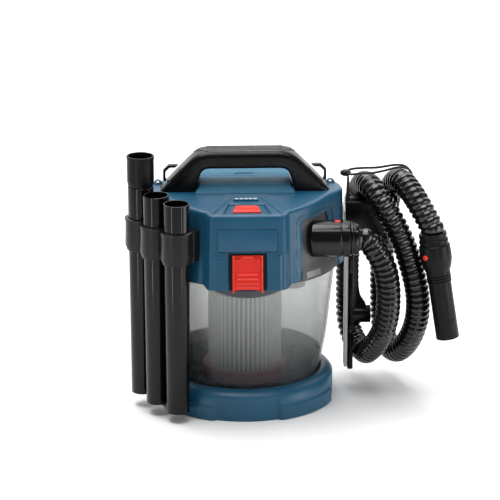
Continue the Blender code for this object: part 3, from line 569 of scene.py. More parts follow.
def felt_strip():
    made = bpy.data.materials.new("felt")
    made.use_nodes = True
    tree = made.node_tree
    shader = tree.nodes["Principled BSDF"]
    shader.inputs["Roughness"].default_value = 0.95
    shader.inputs["Sheen Weight"].default_value = 0.4
    fibres = noise(tree, 700.0, 8.0)
    tree.links.new(
        blended(tree, spread(tree, fibres, 0.0, 1.0), (0.48, 0.48, 0.46), (0.78, 0.78, 0.76)),
        shader.inputs["Base Color"],
    )
    bumped(tree, shader, fibres, 0.9, 0.0004)
    return made


def brushed(name, colour, rough):
    made = bpy.data.materials.new(name)
    made.use_nodes = True
    tree = made.node_tree
    shader = tree.nodes["Principled BSDF"]
    shader.inputs["Metallic"].default_value = 1.0
    place = tree.nodes.new("ShaderNodeTexCoord")
    stretch = tree.nodes.new("ShaderNodeMapping")
    stretch.inputs["Scale"].default_value = (40.0, 40.0, 900.0)
    lines = tree.nodes.new("ShaderNodeTexNoise")
    lines.inputs["Scale"].default_value = 1.0
    tree.links.new(place.outputs["Object"], stretch.inputs["Vector"])
    tree.links.new(stretch.outputs["Vector"], lines.inputs["Vector"])
    darker = tuple(c * 0.8 for c in colour)
    tree.links.new(blended(tree, lines.outputs["Fac"], darker, colour), shader.inputs["Base Color"])
    tree.links.new(spread(tree, lines.outputs["Fac"], rough - 0.08, rough + 0.1), shader.inputs["Roughness"])
    bumped(tree, shader, lines.outputs["Fac"], 0.3, 0.0001)
    return made


BLUE = (0.008, 0.069, 0.131)
RED = (0.62, 0.022, 0.012)
BLACK = (0.003, 0.003, 0.0035)
blue = plastic("blue_shell", BLUE, 0.36, worn=0.25, specular=0.36)
# A lighter copy of the shell blue for the ramp and the lid: painted light standing for the light on top.
blue_top_painted_light = plastic("blue_top_painted_light", (0.022, 0.118, 0.196), 0.60, worn=0.2, specular=0.3)
# A darker copy of the control red for the retainer inside the tank: painted shade.
red_painted_shade = plastic("red_painted_shade", (0.40, 0.016, 0.012), 0.40, specular=0.3)
red = plastic("red_control", RED, 0.34, worn=0.25, specular=0.3)
black = plastic("black_shell", BLACK, 0.26, worn=0.1, specular=0.22)
gloss = plastic("gloss_black", (0.002, 0.002, 0.0025), 0.16, depth=0.00001, specular=0.3)
tube_black = plastic("wand_black", (0.002, 0.002, 0.0025), 0.10, depth=0.00001, worn=0.3, specular=0.24)
hose_black = plastic("hose_black", (0.0025, 0.0025, 0.003), 0.14, depth=0.00001, coat=0.25, specular=0.35)
soft = plastic("soft_grip", (0.0045, 0.0045, 0.005), 0.34, grain=900.0, depth=0.00006, specular=0.13)
# Grey for the handle's grip ridges: painted light standing for the top light on the black soft grip.
ridge_grey_painted_light = plastic("ridge_grey_painted_light", (0.10, 0.10, 0.10), 0.36, grain=900.0, depth=0.00008)
grained = plastic("grained_grey", (0.060, 0.059, 0.057), 0.52, grain=700.0, depth=0.00018)
dark = plastic("dark_grey", (0.040, 0.042, 0.046), 0.5)
slate = plastic("slate_grey", (0.028, 0.031, 0.040), 0.45)
label = plastic("label_grey", (0.16, 0.16, 0.16), 0.3)
pale = plastic("pale_mark", (0.55, 0.62, 0.66), 0.4)
rubber = plastic("rubber", (0.004, 0.004, 0.004), 0.6, grain=1100.0, depth=0.00010)
white_ball = plastic("float_white", (0.68, 0.68, 0.66), 0.4)
board_green = plastic("circuit_green", (0.015, 0.11, 0.035), 0.35)
case_grey = plastic("battery_grey", (0.045, 0.046, 0.048), 0.45, grain=800.0, depth=0.00012)
steel = brushed("steel", (0.60, 0.60, 0.61), 0.32)
smoked = clear_tank()
paper = folded_paper()
felt = felt_strip()


# Stage: a pale floor, soft light and the camera.
def make_stage():
    ground = grid_mesh([ring(9.0, -0.0006, 64), ring(9.0, -0.0005, 64)])
    floor = made_object("floor", ground)
    paint = bpy.data.materials.new("floor_white")
    paint.use_nodes = True
    shader = paint.node_tree.nodes["Principled BSDF"]
    shader.inputs["Base Color"].default_value = (0.80, 0.80, 0.80, 1.0)
    shader.inputs["Roughness"].default_value = 0.8
    shader.inputs["Specular IOR Level"].default_value = 0.2
    floor.data.materials.append(paint)
    sky = bpy.data.worlds.new("studio")
    sky.use_nodes = True
    sky.node_tree.nodes["Background"].inputs["Color"].default_value = (1.0, 1.0, 1.0, 1.0)
    sky.node_tree.nodes["Background"].inputs["Strength"].default_value = 0.20
    bpy.context.scene.world = sky
    bpy.context.scene.view_settings.view_transform = "Standard"
    sun = bpy.data.lights.new("soft_sun", "SUN")
    sun.energy = 2.7
    sun.angle = math.radians(40.0)
    aim_light("soft_sun", sun, (-0.5, 0.5, 3.2), (0.0, 0.0, 0.0))


def aim_light(name, light, spot, target):
    lamp = bpy.data.objects.new(name, light)
    lamp.location = spot
    lamp.rotation_euler = (Vector(target) - Vector(spot)).to_track_quat("-Z", "Y").to_euler()
    bpy.context.scene.collection.objects.link(lamp)
    return lamp


def soft_box(name, spot, size, power, target=(0.05, 0.0, 0.2)):
    light = bpy.data.lights.new(name, "AREA")
    light.shape = "RECTANGLE"
    light.size, light.size_y = size
    light.energy = power
    aim_light(name, light, spot, target).visible_camera = False


def make_camera():
    lens = bpy.data.cameras.new("camera")
    lens.lens = CAMERA_LENS
    lens.clip_end = 60.0
    eye = bpy.data.objects.new("camera", lens)
    level = math.cos(CAMERA_PITCH)
    look = Vector((CAMERA_HEADING[0] * level, CAMERA_HEADING[1] * level, -math.sin(CAMERA_PITCH)))
    eye.location = CAMERA_SPOT
    eye.rotation_euler = look.to_track_quat("-Z", "Y").to_euler()
    bpy.context.scene.collection.objects.link(eye)
    bpy.context.scene.camera = eye


# The hose and what is on it.
def make_hose():
    points = catmull(HOSE_ROUTE, 4)
    data = bpy.data.curves.new("hose", "CURVE")
    data.dimensions = "3D"
    line = data.splines.new("POLY")
    line.points.add(len(points) - 1)
    for spot, point in zip(line.points, points):
        spot.co = (*point, 1.0)
    guide = bpy.data.objects.new("hose", data)
    bpy.context.scene.collection.objects.link(guide)
    values = {"Radius": HOSE_D / 2, "Pitch": HOSE_PITCH, "Depth": HOSE_DEPTH, "Sides": 40}
    values["Finish"] = hose_black
    hose = grown(guide, corrugated_tree(), values, 60.0)
    hose.name = "corrugated_hose"
    fit(hose, hose_black, "head", "hose_plastic", "hose")


def grip_frame():
    start = Vector(HOSE_ROUTE[-1])
    return start, (start - Vector(HOSE_ROUTE[-2])).normalized()


def make_grip():
    start, along = grip_frame()
    shape = [
        (0.0150, 0.0004), (0.0218, 0.0004), (0.0218, 0.0062), (0.0206, 0.0072), (0.0206, 0.0092),
        (0.0224, 0.0104), (0.0228, 0.0150), (0.0214, 0.0160), (0.0214, 0.0182), (0.0240, 0.0200),
        (0.0247, 0.0360), (0.0243, 0.0440), (0.0222, 0.0535), (0.0188, 0.0620),
    ]
    for i in range(4):
        low = 0.0640 + 0.0042 * i
        shape += [(0.0190, low), (0.0190, low + 0.0022), (0.0179, low + 0.0028), (0.0179, low + 0.0038)]
    shape += [(0.0178, 0.0840), (0.0180, GRIP_LENGTH), (0.0154, GRIP_LENGTH), (0.0150, 0.060)]
    body = lay_along(turned(softened(shape, 0.0012, 3), 80), start, along)
    grip = made_object("hand_grip", body, 30.0)
    side = Vector((-0.70, -0.71, 0.0))
    side = (side - along * side.dot(along)).normalized()
    arcs = []
    for i in range(3):
        reach = 0.0085 - 0.0024 * i
        turns = [math.pi * k / 14 for k in range(15)]
        line = []
        for turn in turns:
            swing = reach * math.cos(turn) / 0.0180
            face = Vector((0.34, -0.94, 0.0))
            face = (face - along * face.dot(along)).normalized()
            wide = along.cross(face)
            out = face * math.cos(swing) + wide * math.sin(swing)
            line.append(start + along * (0.136 + reach * 1.1 * math.sin(turn)) + out * 0.0178)
        arcs.append(wire(line, 0.00055, 8))
    ridges = joined("grip_ridges", arcs)
    merged(grip, ridges)
    fit(grip, soft, "head", "soft_grip", "hose_grip")
    dome = (
        (0.0002, 0.0205), (0.0042, 0.0205), (0.0042, 0.0256), (0.0036, 0.0267), (0.0022, 0.0273),
        (0.0002, 0.0275),
    )
    cap = lay_along(turned(dome, 32, hollow=False), start + along * GRIP_BUTTON_AT, side)
    fit(made_object("grip_trigger", cap), red, "grip_button", "red_control", "grip_button")


def wire(points, radius, sides=10):
    """A closed round bar along points."""
    points = [Vector(point) for point in points]
    rows = []
    up = None
    for i, point in enumerate(points):
        ahead = points[min(i + 1, len(points) - 1)] - points[max(i - 1, 0)]
        ahead.normalize()
        up = ahead.orthogonal().normalized() if up is None else (up - ahead * up.dot(ahead)).normalized()
        side = ahead.cross(up)
        turns = [2 * math.pi * k / sides for k in range(sides)]
        rows.append([point + (up * math.cos(turn) + side * math.sin(turn)) * radius for turn in turns])
    return grid_mesh(rows)


def make_connector():
    start = Vector((PORT_END_X - 0.0291, PORT_Y, PORT_Z))
    shape = (
        (0.0170, 0.0), (0.0210, 0.0), (0.0210, 0.0296), (0.0257, 0.0296), (0.0264, 0.0312),
        (0.0264, 0.0336), (0.0250, 0.0342), (0.0250, 0.0354), (0.0258, 0.0360), (0.0250, 0.0420),
        (0.0222, 0.0428), (0.0170, 0.0428),
    )
    sleeve = lay_along(turned(softened(shape, 0.0007, 3), 80), start, (1, 0, 0))
    fit(made_object("connector_sleeve", sleeve, 30.0), gloss, "head", "black_shell", "hose_connector")


# The head.
def head_columns(fine=0.0012, coarse=0.0026):
    """Points round the head, as x and y at the rim and at the shoulder, closer together at the front."""

    def count(a, b):
        run = (Vector((b[0], b[1])) - Vector((a[0], a[1]))).length
        busy = a[1] < -0.045 or abs(b[0]) <= FRONT_HALF and b[1] > 0.139
        return max(2, round(run / (fine if busy else coarse)))

    half = catmull(HEAD_HALF, count)
    return [tuple(p) for p in half] + [(-p[0], p[1], -p[2], p[3]) for p in reversed(half[1:-1])]


def column_at(column, height):
    share = (height - HEAD_FRONT_Z) / (HEAD_SHOULDER_Z - HEAD_FRONT_Z)
    return Vector((column[0], column[1])).lerp(Vector((column[2], column[3])), share)


def pushed_in(ring_points, depths):
    """A ring of flat points, each moved in by its own depth, square to the ring."""
    count = len(ring_points)
    moved = []
    for i, point in enumerate(ring_points):
        along = (ring_points[(i + 1) % count] - ring_points[i - 1]).normalized()
        moved.append(Vector((point.x - along.y * depths[i], point.y + along.x * depths[i])))
    return moved


def rim_height(x):
    return HEAD_FRONT_Z + (HEAD_SIDE_Z - HEAD_FRONT_Z) * smooth_step(abs(x), FRONT_HALF + 0.004, 0.008)


def face_relief(x, y, z):
    """How far a face is pressed in at a point: the latch pocket, its ledges and the plate's bed."""
    out = abs(x)
    if out > FRONT_HALF or abs(y) < 0.110:
        return 0.0
    low = 1.0 - smooth_step(z, POCKET_TOP_Z, 0.0009)
    pocket = (1.0 - smooth_step(out, POCKET_HALF, 0.0009)) * low
    brow = LEDGE_Z + 0.0035 * smooth_step(out, 0.0480, 0.0050)
    ledge = (1.0 - smooth_step(z, brow, 0.0022)) * (1.0 - smooth_step(out, 0.0505, 0.0022))
    bed = (1.0 - smooth_step(out, PLATE_HALF, 0.0008)) * smooth_step(z, PLATE_LOW_Z, 0.0008)
    bed *= 1.0 - smooth_step(z, PLATE_TOP_Z, 0.0008)
    return 0.0026 * pocket - 0.0019 * ledge * (1.0 - pocket) + 0.0009 * bed * (y < 0)


def corner_relief(x, y, z):
    """The stepped frame round the recess of the hose port, and its rounded border."""
    if y > RECESS_Y + 0.012 or x < RECESS_X - 0.014:
        return 0.0
    across, over = min(x - RECESS_X, RECESS_Y - y), RECESS_TOP_Z - z
    turn = 0.012
    corner = turn - math.hypot(max(turn - 0.0085 - across, 0.0), max(turn - 0.0085 - over, 0.0)) - 0.0085
    inside = min(across, over, corner) if across < turn and over < turn else min(across, over)
    step = smooth_step(inside, -0.0085, 0.0011)
    border = smooth_step(inside, -0.0007, 0.0014)
    return 0.0018 * step + 0.0008 * border


def top_relief(x, y):
    """How far the top is pressed down: the channel round the power button and a trough at the ramp."""
    out = abs(x)
    ahead = -0.0780 - y
    wide = 0.0265 + 0.23 * ahead
    channel = (1.0 - smooth_step(out, wide, 0.0011)) * smooth_step(ahead, 0.0, 0.0016)
    channel *= 1.0 - smooth_step(ahead, 0.0480, 0.0016)
    island = (1.0 - smooth_step(out, wide - 0.0068, 0.0010)) * smooth_step(ahead, 0.0062, 0.0014)
    trough = (1.0 - smooth_step(abs(y + 0.0415), 0.0015, 0.0030)) * (1.0 - smooth_step(out, 0.0735, 0.0040))
    return 0.0028 * channel - 0.0016 * channel * island + 0.0010 * trough


def top_height(y):
    return HEAD_TOP_Z - TOP_FALL * max(0.0, abs(y) + WELL_Y)


def make_head_shell():
    """The motor head's cover, pressed in round the latches, the plate, the port and the power button."""
    columns = head_columns()
    rows = []

    def side_row(height, inner=0.0):
        points = [column_at(c, height) for c in columns]
        levels = [max(height, rim_height(c[0])) for c in columns]
        depths = [inner] * len(columns)
        if not inner:
            depths = [
                face_relief(p.x, p.y, z) + corner_relief(p.x, p.y, z) for p, z in zip(points, levels)
            ]
        return [(p.x, p.y, z) for p, z in zip(pushed_in(points, depths), levels)]

    shoulder = [column_at(c, HEAD_SHOULDER_Z) for c in columns]

    def top_row(depth, drop, share=1.0):
        made = []
        for p in pushed_in(shoulder, [depth] * len(shoulder)):
            x, y = p.x * share, p.y * share
            dip = top_relief(x, y) if drop == 0.0 else 0.0
            made.append((x, y, top_height(y) - drop - dip))
        return made

    rows.append(side_row(0.236, HEAD_WALL))
    rows.append(side_row(HEAD_FRONT_Z, HEAD_WALL))
    rows.append(side_row(HEAD_FRONT_Z, 0.0012))
    rows.append(side_row(HEAD_FRONT_Z + 0.0008))
    steps = 84
    for i in range(1, steps + 1):
        rows.append(side_row(HEAD_FRONT_Z + 0.0008 + (0.3185 - HEAD_FRONT_Z) * i / steps))
    edge = 0.0062
    for i in range(1, 8):
        turn = math.radians(90 * i / 8)
        rows.append(top_row(edge * (1 - math.cos(turn)), edge * (1 - math.sin(turn)) + 1e-6))
    for i in range(58):
        rows.append(top_row(edge, 0.0, 1.0 - 0.010 * i))
    for share in (0.38, 0.33, 0.28, 0.22, 0.16, 0.10, 0.04):
        rows.append(top_row(edge, 0.0, share))
    under = [top_row(edge, HEAD_WALL, share) for share in (0.04, 0.3, 0.6, 0.9)]
    rows += under
    rows.append(top_row(edge, HEAD_WALL + 0.003, 0.985))
    rows.append(side_row(0.300, HEAD_WALL))
    shell = made_object("head_cover", grid_mesh(rows, wrap_rows=True), 50.0)
    recess = ((RECESS_X, -0.200), (0.200, -0.200), (0.200, RECESS_Y), (RECESS_X, RECESS_Y))
    button = ((-0.0226, -0.1156), (0.0226, -0.1156), (0.0171, -0.0864), (-0.0171, -0.0864))
    cut(
        shell,
        [
            prism(recess, "Z", 0.200, RECESS_TOP_Z),
            block((-0.0660, 0.0300, 0.2900), (0.0660, 0.0960, 0.3600)),
            prism(button, "Z", 0.290, 0.360),
        ],
    )
    shell.data.shade_smooth()
    shell.data.set_sharp_from_angle(angle=math.radians(42.0))
    ears = []
    for side in (-1, 1):
        outline = softened([(side * x, z) for x, z in EAR], 0.004)
        ears.append(prism(outline, "Y", 0.0235, 0.0330, 0.0016))
    merged(shell, joined("ears", ears))
    fit(shell, blue, "head", "blue_shell", "head_shell")


def make_port_panel():
    columns = [c for c in head_columns() if RECESS_X - 0.003 < c[0] and c[1] < RECESS_Y + 0.012]
    columns.sort(key=lambda c: c[0])
    depths = ((0.2185, 0.0008), (0.2320, 0.0012), (0.2395, 0.0046), (0.2450, 0.0046))
    levels = [*depths, *((0.2450 + 0.0645 * i / 20, 0.0046) for i in range(1, 21))]

    def wall(extra, chosen=columns):
        rows = []
        for height, depth in levels:
            points = [column_at(c, height) for c in chosen]
            ends = (2 * points[0] - points[1], 2 * points[-1] - points[-2])
            moved = pushed_in([ends[0], *points, ends[1]], [depth + extra] * (len(points) + 2))
            rows.append([(p.x, p.y, height) for p in moved[1:-1]])
        return rows

    outer, inner = wall(0.0), wall(0.0022)
    mesh = grid_mesh([a + b[::-1] for a, b in zip(outer, inner)])
    panel = made_object("port_wall", mesh, 50.0)
    near_x, near_y = RECESS_X + 0.0003, RECESS_Y - 0.0003
    keep = ((near_x, -0.19), (0.19, -0.19), (0.19, near_y), (near_x, near_y))
    cut(panel, [prism(keep, "Z", 0.21, 0.35)], "INTERSECT")
    panel.data.shade_smooth()
    panel.data.set_sharp_from_angle(angle=math.radians(40.0))
    fit(panel, grained, "head", "dark_grey_panel", "port_panel")
    shown = [c for c in columns if 0.0920 < c[0] < 0.1150]
    levels = [(0.2222 + 0.0090 * i / 4, 0.0008) for i in range(5)]
    front, back = wall(-0.0003, shown), wall(0.0003, shown)
    patch = grid_mesh([a + b[::-1] for a, b in zip(front, back)])
    fit(made_object("blank_label", patch, 50.0), label, "head", "dark_grey_panel")


def on_face(height):
    share = (height - HEAD_FRONT_Z) / (HEAD_SHOULDER_Z - HEAD_FRONT_Z)
    return FRONT_LOW_Y + (FRONT_HIGH_Y - FRONT_LOW_Y) * share


def make_name_plate():
    """A blank plate in its bed, leaning with the front."""
    outline = softened(((-0.0446, PLATE_LOW_Z + 0.0008), (0.0446, PLATE_LOW_Z + 0.0008),
                        (0.0446, PLATE_TOP_Z - 0.0008), (-0.0446, PLATE_TOP_Z - 0.0008)), 0.002)
    mesh = prism(outline, "Y", -0.0005, 0.0005, 0.0003, 2)
    for vert in mesh.verts:
        vert.co.y -= on_face(vert.co.z) - 0.0002
    fit(made_object("blank_plate", mesh, 30.0), blue, "head", "blue_shell", "name_plate")


def make_pocket_shade():
    """Black sheets in the two latch pockets, painted shade for the dark gaps round the latches."""
    for side, name in ((-1, "front_pocket_shade"), (1, "rear_pocket_shade")):
        outline = [(side * (on_face(z) - depth), z) for z, depth in
                   ((0.2146, 0.0030), (0.2704, 0.0030), (0.2704, 0.0022), (0.2146, 0.0022))]
        fit(made_object(name, prism(outline, "X", -0.0279, 0.0279)), black, "head", "black_shell")


def latch_thickness(x, z):
    """How far a latch's outside stands from the head's face: side flanges, a hump on top and grip ribs."""
    out = abs(x)
    height = (z - LATCH_LOW_Z) / (LATCH_TOP_Z - LATCH_LOW_Z)
    thick = 0.0034 + 0.0026 * (1.0 - smooth_step(height, 0.42, 0.34))
    hump = 0.2662 - 0.0052 * smooth_step(out, 0.0110, 0.0080)
    thick -= 0.0034 * smooth_step(z, hump, 0.0010) * (1.0 - smooth_step(out, 0.0185, 0.0012))
    for i in range(4):
        rib = 1.0 - smooth_step(abs(z - 0.2205 - 0.0062 * i), 0.0012, 0.0014)
        thick += 0.0013 * rib * (1.0 - smooth_step(out, 0.0172 - 0.0006 * i, 0.0018))
    flange = smooth_step(out, 0.0198, 0.0010)
    return thick + (0.0066 - thick + 0.0014 * (1.0 - height)) * flange


def make_latch(name, node, side):
    across = [-LATCH_HALF + 0.0007 * i for i in range(int(2 * LATCH_HALF / 0.0007) + 1)]
    across[-1] = LATCH_HALF
    rows = []
    levels = 74
    for i in range(levels + 1):
        share = i / levels
        front, back = [], []
        for x in across:
            low = LATCH_LOW_Z + 0.0030 - 0.0045 * smooth_step(abs(x), 0.0200, 0.0012)
            z = low + (LATCH_TOP_Z - low) * share
            face = on_face(z) + 0.0004
            ends = min(share, 1.0 - share) * (LATCH_TOP_Z - LATCH_LOW_Z)
            rim = min(ends, LATCH_HALF - abs(x))
            thick = latch_thickness(x, z) - 0.0010 * (1.0 - smooth_step(rim, 0.0004, 0.0012))
            front.append((x, side * (face + thick), z))
            back.append((x, side * face, z))
        rows.append(front + back[::-1])
    fit(made_object(name, grid_mesh(rows), 40.0), red, node, "red_control", node)


def make_power_button():
    outline = softened(((-0.0220, -0.1150), (0.0220, -0.1150), (0.0165, -0.0870), (-0.0165, -0.0870)), 0.0025)
    mesh = prism(outline, "Z", 0.3240, 0.3318, 0.0012, 3)
    bmesh.ops.recalc_face_normals(mesh, faces=mesh.faces)
    for vert in mesh.verts:
        if vert.co.z > 0.330:
            vert.co.z -= TOP_FALL * (abs(vert.co.y) - 0.087)
    button = made_object("power_key", mesh)
    dash = softened(((-0.0075, -0.1015), (0.0075, -0.1015), (0.0068, -0.0985), (-0.0068, -0.0985)), 0.001)
    merged(button, joined("dash", [prism(dash, "Z", 0.3295, 0.3312, 0.0003, 2)]))
    fit(button, red, "power_button", "red_control", "power_button")


def make_gauge(row_copies):
    cell = block((-0.0166, -0.0641, 0.3338), (-0.0114, -0.0598, 0.3351), 0.0004, 2)
    cells = grown(
        made_object("gauge_cells", cell), row_copies, {"Count": 5, "Step": (0.0070, 0.0, 0.0), "Finish": pale}
    )
    fit(cells, pale, "head", "dark_grey_panel")
    bed = softened(((-0.0195, -0.0660), (0.0195, -0.0660), (0.0165, -0.0580), (-0.0165, -0.0580)), 0.0012)
    plate = made_object("gauge_bed", prism(bed, "Z", 0.3320, 0.3343, 0.0004, 2))
    fit(plate, blue, "head", "dark_grey_panel", "charge_gauge")


def make_top_covers():
    """The ramp under the handle and the lid over the battery bay."""
    ramp = (
        (-0.0398, 0.3310), (-0.0398, 0.3350), (-0.0360, 0.3374), (-0.0250, 0.3410),
        (-0.0080, 0.3448), (0.0080, 0.3468), (0.0240, 0.3474), (0.0240, 0.3310),
    )
    cover = prism(softened(ramp, 0.0050, 4), "X", -0.0705, 0.0705, 0.0045, 5)
    for vert in cover.verts:
        flare = 1.0 + 0.085 * (1.0 - smooth_step(vert.co.z, 0.3385, 0.0080))
        vert.co.x *= flare
        tight = smooth_step(abs(vert.co.x), 0.0640, 0.0240) * (vert.co.y < -0.020)
        vert.co.y += 0.0075 * tight
    fit(made_object("well_ramp", cover, 30.0), blue_top_painted_light, "head", "blue_shell", "handle_well_cover")
    lid = (
        (0.0248, 0.3360), (0.0248, 0.3460), (0.0420, 0.3470), (0.0600, 0.3470), (0.0800, 0.3457),
        (0.0960, 0.3430), (0.1060, 0.3400), (0.1088, 0.3340), (0.1060, 0.3318), (0.0980, 0.3348),
    )
    body = prism(softened(lid, 0.0045, 4), "X", -0.0700, 0.0700, 0.0026, 4)
    dish = made_object("bay_lid", body, 30.0)
    thumb = softened(((-0.016, 0.0300), (0.016, 0.0300), (0.012, 0.0400), (-0.012, 0.0400)), 0.004)
    cut(dish, [prism(thumb, "Z", 0.3455, 0.3600)], solver="EXACT")
    fit(edged(dish, 0.0005, 2, 40.0), blue_top_painted_light, "battery_lid", "blue_shell", "battery_lid")


# The handle.
def handle_section(foot_x, foot_z, crown_x, crown_z):
    """A ring round the handle's bar, between a point of its opening and a point of its outer outline."""
    foot, crown = Vector((foot_x, foot_z)), Vector((crown_x, crown_z))
    deep = (crown - foot).length
    across = (crown - foot) / deep
    corners = (
        (HANDLE_HALF - HANDLE_EDGE, deep - HANDLE_EDGE, HANDLE_EDGE, 0),
        (HANDLE_EDGE - HANDLE_HALF, deep - HANDLE_EDGE, HANDLE_EDGE, 90),
        (HANDLE_INNER_EDGE - HANDLE_HALF, HANDLE_INNER_EDGE, HANDLE_INNER_EDGE, 180),
        (HANDLE_HALF - HANDLE_INNER_EDGE, HANDLE_INNER_EDGE, HANDLE_INNER_EDGE, 270),
    )
    ring_points = []
    for y, level, radius, first in corners:
        for k in range(9):
            turn = math.radians(first + 90 * k / 8)
            spot = foot + across * (level + radius * math.sin(turn))
            ring_points.append((spot.x, y + radius * math.cos(turn), spot.y))
    return ring_points


def make_handle():
    half = [
        (0.0770, 0.3345, 0.1305, 0.3345), (0.0748, 0.3415, 0.1262, 0.3405),
        (0.0722, 0.3500, 0.1050, 0.3628), (0.0697, 0.3585, 0.0860, 0.3820),
        (0.0675, 0.3635, 0.0780, 0.3890), (0.0635, 0.3678, 0.0690, 0.3940),
        (0.0560, 0.3700, 0.0580, 0.3966), (0.0400, 0.3702, 0.0400, 0.3972),
        (0.0, 0.3702, 0.0, 0.3972),
    ]
    whole = half + [(-a, b, -c, d) for a, b, c, d in reversed(half[:-1])]
    sections = [handle_section(*station) for station in catmull(whole, 5)]
    fit(made_object("carry_handle", grid_mesh(sections), 50.0), black, "head", "black_shell", "handle")
    ridges = []
    for i in range(5):
        y = -0.0150 + 0.0070 * i
        tail = 0.0560 + 0.7 * (0.0165 - y)
        line = [(tail, 0.0165), (0.0560, y), (-0.0560, y), (-tail, 0.0165)]
        path = softened(line, 0.0030, 4, closed=False)
        spots = []
        for a, b in zip(path, path[1:]):
            steps = max(1, round((Vector(b) - Vector(a)).length / 0.004))
            spots += [Vector(a).lerp(Vector(b), k / steps) for k in range(steps)]
        spots.append(Vector(path[-1]))
        ridges.append(wire([(p.x, p.y, ridge_height(abs(p.x), p.y)) for p in spots], 0.0013, 10))
    # The ridges take a grey that is painted top light.
    fit(joined("handle_ridges", ridges), ridge_grey_painted_light, "head", "soft_grip", "grip_pad")


def ridge_height(x, y):
    """The top of the handle, which falls away past the grip and rounds over at its edges."""
    run = max(0.0, x - 0.0570)
    fall = 0.0028 * min(run / 0.0130, 1.0) + 0.69 * max(0.0, run - 0.0130)
    over = max(0.0, abs(y) - HANDLE_HALF + HANDLE_EDGE)
    return 0.3971 - fall - HANDLE_EDGE + math.sqrt(HANDLE_EDGE**2 - over**2)


def make_strap_loops():
    for side, name in ((-1, "strap_loop_left"), (1, "strap_loop_right")):
        outer = ((0.1025, 0.3722), (0.1175, 0.3722), (0.1262, 0.3640), (0.1262, 0.3480), (0.1235, 0.3460))
        inner = ((0.1208, 0.3485), (0.1222, 0.3505), (0.1222, 0.3622), (0.1158, 0.3682), (0.1075, 0.3682))
        outline = softened([(side * x, z) for x, z in outer + inner], 0.0014, 3)
        bar = made_object(f"{name}_bar", prism(outline, "Y", -0.005, 0.005, 0.0009, 3))
        fit(bar, black, "head", "black_shell", name)


def make_loop_screws():
    head = ((0.0004, 0.0), (0.0042, 0.0), (0.0042, 0.0012), (0.0030, 0.0026), (0.0004, 0.0030))
    for side, name in ((-1, "left_screw"), (1, "right_screw")):
        screw = turned(softened(head, 0.0004, 2, closed=False), 40, hollow=False)
        lay_along(screw, (side * 0.1343, 0.0240, 0.3345), (0, -1, 0))
        fit(made_object(name, screw), steel, "head", "steel")


# The base and the tank.
def wall_limit(angle):
    from_middle = abs((angle + math.pi / 4) % (math.pi / 2) - math.pi / 4)
    share = (from_middle - FACET_HALF_ANGLE) / (FACET_END_ANGLE - FACET_HALF_ANGLE)
    share = min(max(share, 0.0), 1.0)
    return BASE_FACET_R + (BASE_R - BASE_FACET_R) * share


def make_base():
    sides = 480
    angles = [2 * math.pi * i / sides for i in range(sides)]
    outer = [(BASE_R - 0.0018, 0.0), (BASE_R - 0.0005, 0.0007), (BASE_R, 0.0020)]
    outer += [(BASE_R, 0.0020 + (BASE_BAND_Z - 0.0020) * i / 14) for i in range(1, 15)]
    inner = BASE_R - 0.0024
    for i in range(1, 23):
        turn = math.radians(90 * i / 22)
        outer.append(
            (
                BASE_TOP_R + (inner - BASE_TOP_R) * math.cos(turn),
                BASE_BAND_Z + 0.0008 + (BASE_TOP_Z - BASE_BAND_Z - 0.0008) * math.sin(turn),
            )
        )
    outer += [(0.1196, BASE_TOP_Z - 0.0002), (0.1190, BASE_TOP_Z - 0.0012)]
    pocket = [(0.1189, 0.0360), (0.1144, 0.005), (0.05, 0.005), (0.002, 0.005)]
    rows = []
    for radius, height in outer + pocket:
        row = []
        for angle in angles:
            limit = wall_limit(angle)
            start = limit - FACET_BLEND
            reach = radius
            if radius >= start:
                reach = min(radius, start + FACET_BLEND * math.tanh((radius - start) / FACET_BLEND))
            row.append((reach * math.cos(angle), reach * math.sin(angle), height))
        rows.append(row)
    fit(made_object("round_base", grid_mesh(rows), 24.0), blue, "bucket", "blue_shell", "base_ring")
    seal = ((0.1198, 0.0460), (0.1213, 0.0460), (0.1213, 0.0476), (0.1198, 0.0476))
    fit(made_object("foot_seal", turned(seal, 160)), rubber, "bucket", "blue_shell")


def tank_crease(angle, height):
    """How far the tank is pressed in between its creases, which fade out upwards."""
    from_middle = abs((angle + math.pi / 4) % (math.pi / 2) - math.pi / 4)
    fade = 1.0 - smooth_step(height, 0.085, 0.080)
    return 0.0022 * (1.0 - smooth_step(from_middle, math.radians(24.4), math.radians(0.9))) * fade


def make_tank():
    sides = 420
    angles = [2 * math.pi * i / sides for i in range(sides)]
    wall = [
        (0.1098, 0.0056), (0.1128, 0.0088), (0.1183, 0.0360), (0.1204, 0.0475), (0.1270, 0.0900),
        (0.1310, 0.1290), (0.1382, 0.1970), (0.1396, 0.2100), (0.1396, 0.2280),
    ]
    outer = [tuple(point) for point in catmull(wall, 6)]

    def outside_at(height):
        pairs = zip(outer, outer[1:])
        low, high = next((a, b) for a, b in pairs if a[1] <= height <= b[1])
        return low[0] + (high[0] - low[0]) * (height - low[1]) / (high[1] - low[1])

    # Dark plates painted as shade under the head's skirt.
    make_skirt_shade_plates(outside_at)
    inner = [(radius - TANK_WALL, height) for radius, height in reversed(outer) if height > 0.0105]
    inner += [(0.1080, 0.0094), (0.05, 0.0090), (0.002, 0.0090)]
    rows = []
    for radius, height in outer + inner:
        rows.append(
            [
                (
                    (radius - tank_crease(a, height)) * math.cos(a),
                    (radius - tank_crease(a, height)) * math.sin(a),
                    height,
                )
                if radius > 0.1
                else (radius * math.cos(a), radius * math.sin(a), height)
                for a in angles
            ]
        )
    tank = made_object("smoked_bin", grid_mesh(rows), 30.0)
    fit(tank, smoked, "bucket", "smoked_clear", "tank", "tank_floor")


